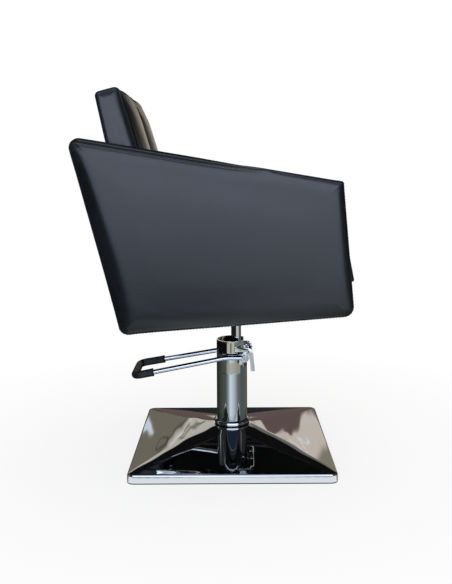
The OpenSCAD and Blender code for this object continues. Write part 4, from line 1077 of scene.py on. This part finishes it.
# Backrest: two crests across the width, abs(sin)^sharp high, sewn in at the centre and the sides. Its
# columns crowd at the seams, across = half (t - crowding sin(2 pi t) / (2 pi))
def backGrid():
    low, high, rearHigh = back["foot"], back["top"], back["top"] - back["topFall"]
    front = [leaningFace(back["footFront"], back["leanFront"], w) - back["depth"] for w in (low, high)]
    rear = [leaningFace(back["footRear"], back["leanRear"], w) for w in (low, rearHigh)]
    shape = makeOutline([(rear[0], low), (front[0], low), (front[1], high), (rear[1], rearHigh)],
                        back["radii"], back["spacing"], 12)
    rollIn, rollDown = alongOutline(shape, back["rollIn"]), alongOutline(shape, back["rollDown"])
    endPoints, fromEndSeam = endRows(shape, back, rollIn, rollDown)
    flatHalf = back["half"] - back["deepest"]
    t = np.linspace(-1, 1, back["bandRows"])[1:-1]
    across = flatHalf * (t - back["crowding"] * np.sin(2 * math.pi * t) / (2 * math.pi))
    swell = np.abs(np.sin(math.pi * across / flatHalf)) ** back["sharp"]
    fromSeam = np.minimum(np.abs(across), flatHalf - np.abs(across) + back["seamAt"])
    return coverGrid(shape, endPoints, fromEndSeam, across, swell, alongOutline(shape, back["puff"], 6),
                     fromSeam, back["depth"], back)


# A cover whose outline runs across the object: its two sewn ends and the band between them, which
# stands out from the outline by depth * swell across * puff along. Gives the places, the outward
# normals and the two rows that carry stitches
def coverGrid(shape, endPoints, fromEndSeam, across, swell, puff, fromSeam, depth, look):
    count = len(shape["corner"])
    band = outlineAt(shape, np.zeros((len(across), count)))
    band = np.stack([band[..., 0], np.repeat(across[:, None], count, 1), band[..., 1]], -1)
    out = outlineNormal(shape)
    band += (swell[:, None] * puff * depth)[..., None] * np.stack([out[:, 0], 0 * out[:, 0], out[:, 1]], -1)
    points = np.concatenate([endPoints[::-1] * [1, -1, 1], band, endPoints])
    middle = np.repeat(fromSeam[:, None], count, 1)
    distance = np.concatenate([np.abs(fromEndSeam)[::-1], middle, np.abs(fromEndSeam)])
    cap = np.full(len(points), look["cap"])
    cap[:len(endPoints)] = cap[-len(endPoints):] = look["endCap"]
    points = inflate(points, distance, cap)
    normal = outwardNormals(points)
    relief = seamRelief(fromEndSeam, look["seamDepth"], look["stitchAt"])
    relief = np.concatenate([relief[::-1], 0 * middle, relief])
    stitched = int(np.argmin(np.abs(fromEndSeam[:, 0] - look["stitchAt"])))
    rows = [len(endPoints) - 1 - stitched, len(endPoints) + len(band) + stitched]
    return seatPlace(points + normal * relief[..., None]), normal, rows


def buildBack():
    points, normal, rows = backGrid()
    piece = gridMesh("backrest_cover", points, poles=True)
    finishPiece(piece, "leatherette", "seat", "backrest_cushion")
    addStitching("backrest_stitching", points, normal, rows)


buildBack()
print("backrest: cover and stitching")


cushion = {
    "rear": -0.1085, "front": 0.291, "bottom": 0.070, "thick": 0.088, "lean": 0.009, "half": 0.230,
    "radii": [0.010, 0.004, 0.030, 0.014], "spacing": 0.005, "rollIn": 0.014, "rollDown": 0.014,
    "crown": 0.011, "sharp": 2.6, "reach": 0.036, "seamAt": 0.006, "seamDepth": 0.0014, "stitchAt": 0.0032,
    "cap": 0.006, "endCap": 0.0015, "bandRows": 91, "seamRows": (6, 16), "faceRows": 5,
    "puff": [(0, 0), (1, 0.0), (1.5, 0.18), (2, 0.25), (2.2, 0.7), (2.5, 1.0), (2.85, 0.6), (3, 0.1)],
}


# Seat cushion: crown across the width, 1 - abs(share)^sharp, and along the top by its keys
def cushionGrid():
    look = cushion
    low, high = look["bottom"], look["bottom"] + look["thick"]
    slope = math.tan(math.radians(back["leanFront"]))
    shape = makeOutline([(look["rear"], low), (look["front"], low), (look["front"] - look["lean"], high),
                         (look["rear"] - look["thick"] * slope, high)], look["radii"], look["spacing"], 12)
    rollIn, rollDown = (np.full(len(shape["corner"]), look[k]) for k in ("rollIn", "rollDown"))
    endPoints, fromEndSeam = endRows(shape, look, rollIn, rollDown)
    flatHalf = look["half"] - look["rollDown"]
    across = np.linspace(-flatHalf, flatHalf, look["bandRows"])[1:-1]
    swell = 1 - np.abs(across / flatHalf) ** look["sharp"]
    return coverGrid(shape, endPoints, fromEndSeam, across, swell, alongOutline(shape, look["puff"], 12),
                     flatHalf - np.abs(across) + look["seamAt"], look["crown"], look)


def buildCushion():
    points, normal, rows = cushionGrid()
    piece = gridMesh("seat_cover", points, poles=True)
    finishPiece(piece, "leatherette", "seat", "seat_cushion")
    addStitching("seat_stitching", points, normal, rows)


buildCushion()
print("seat: cushion cover")
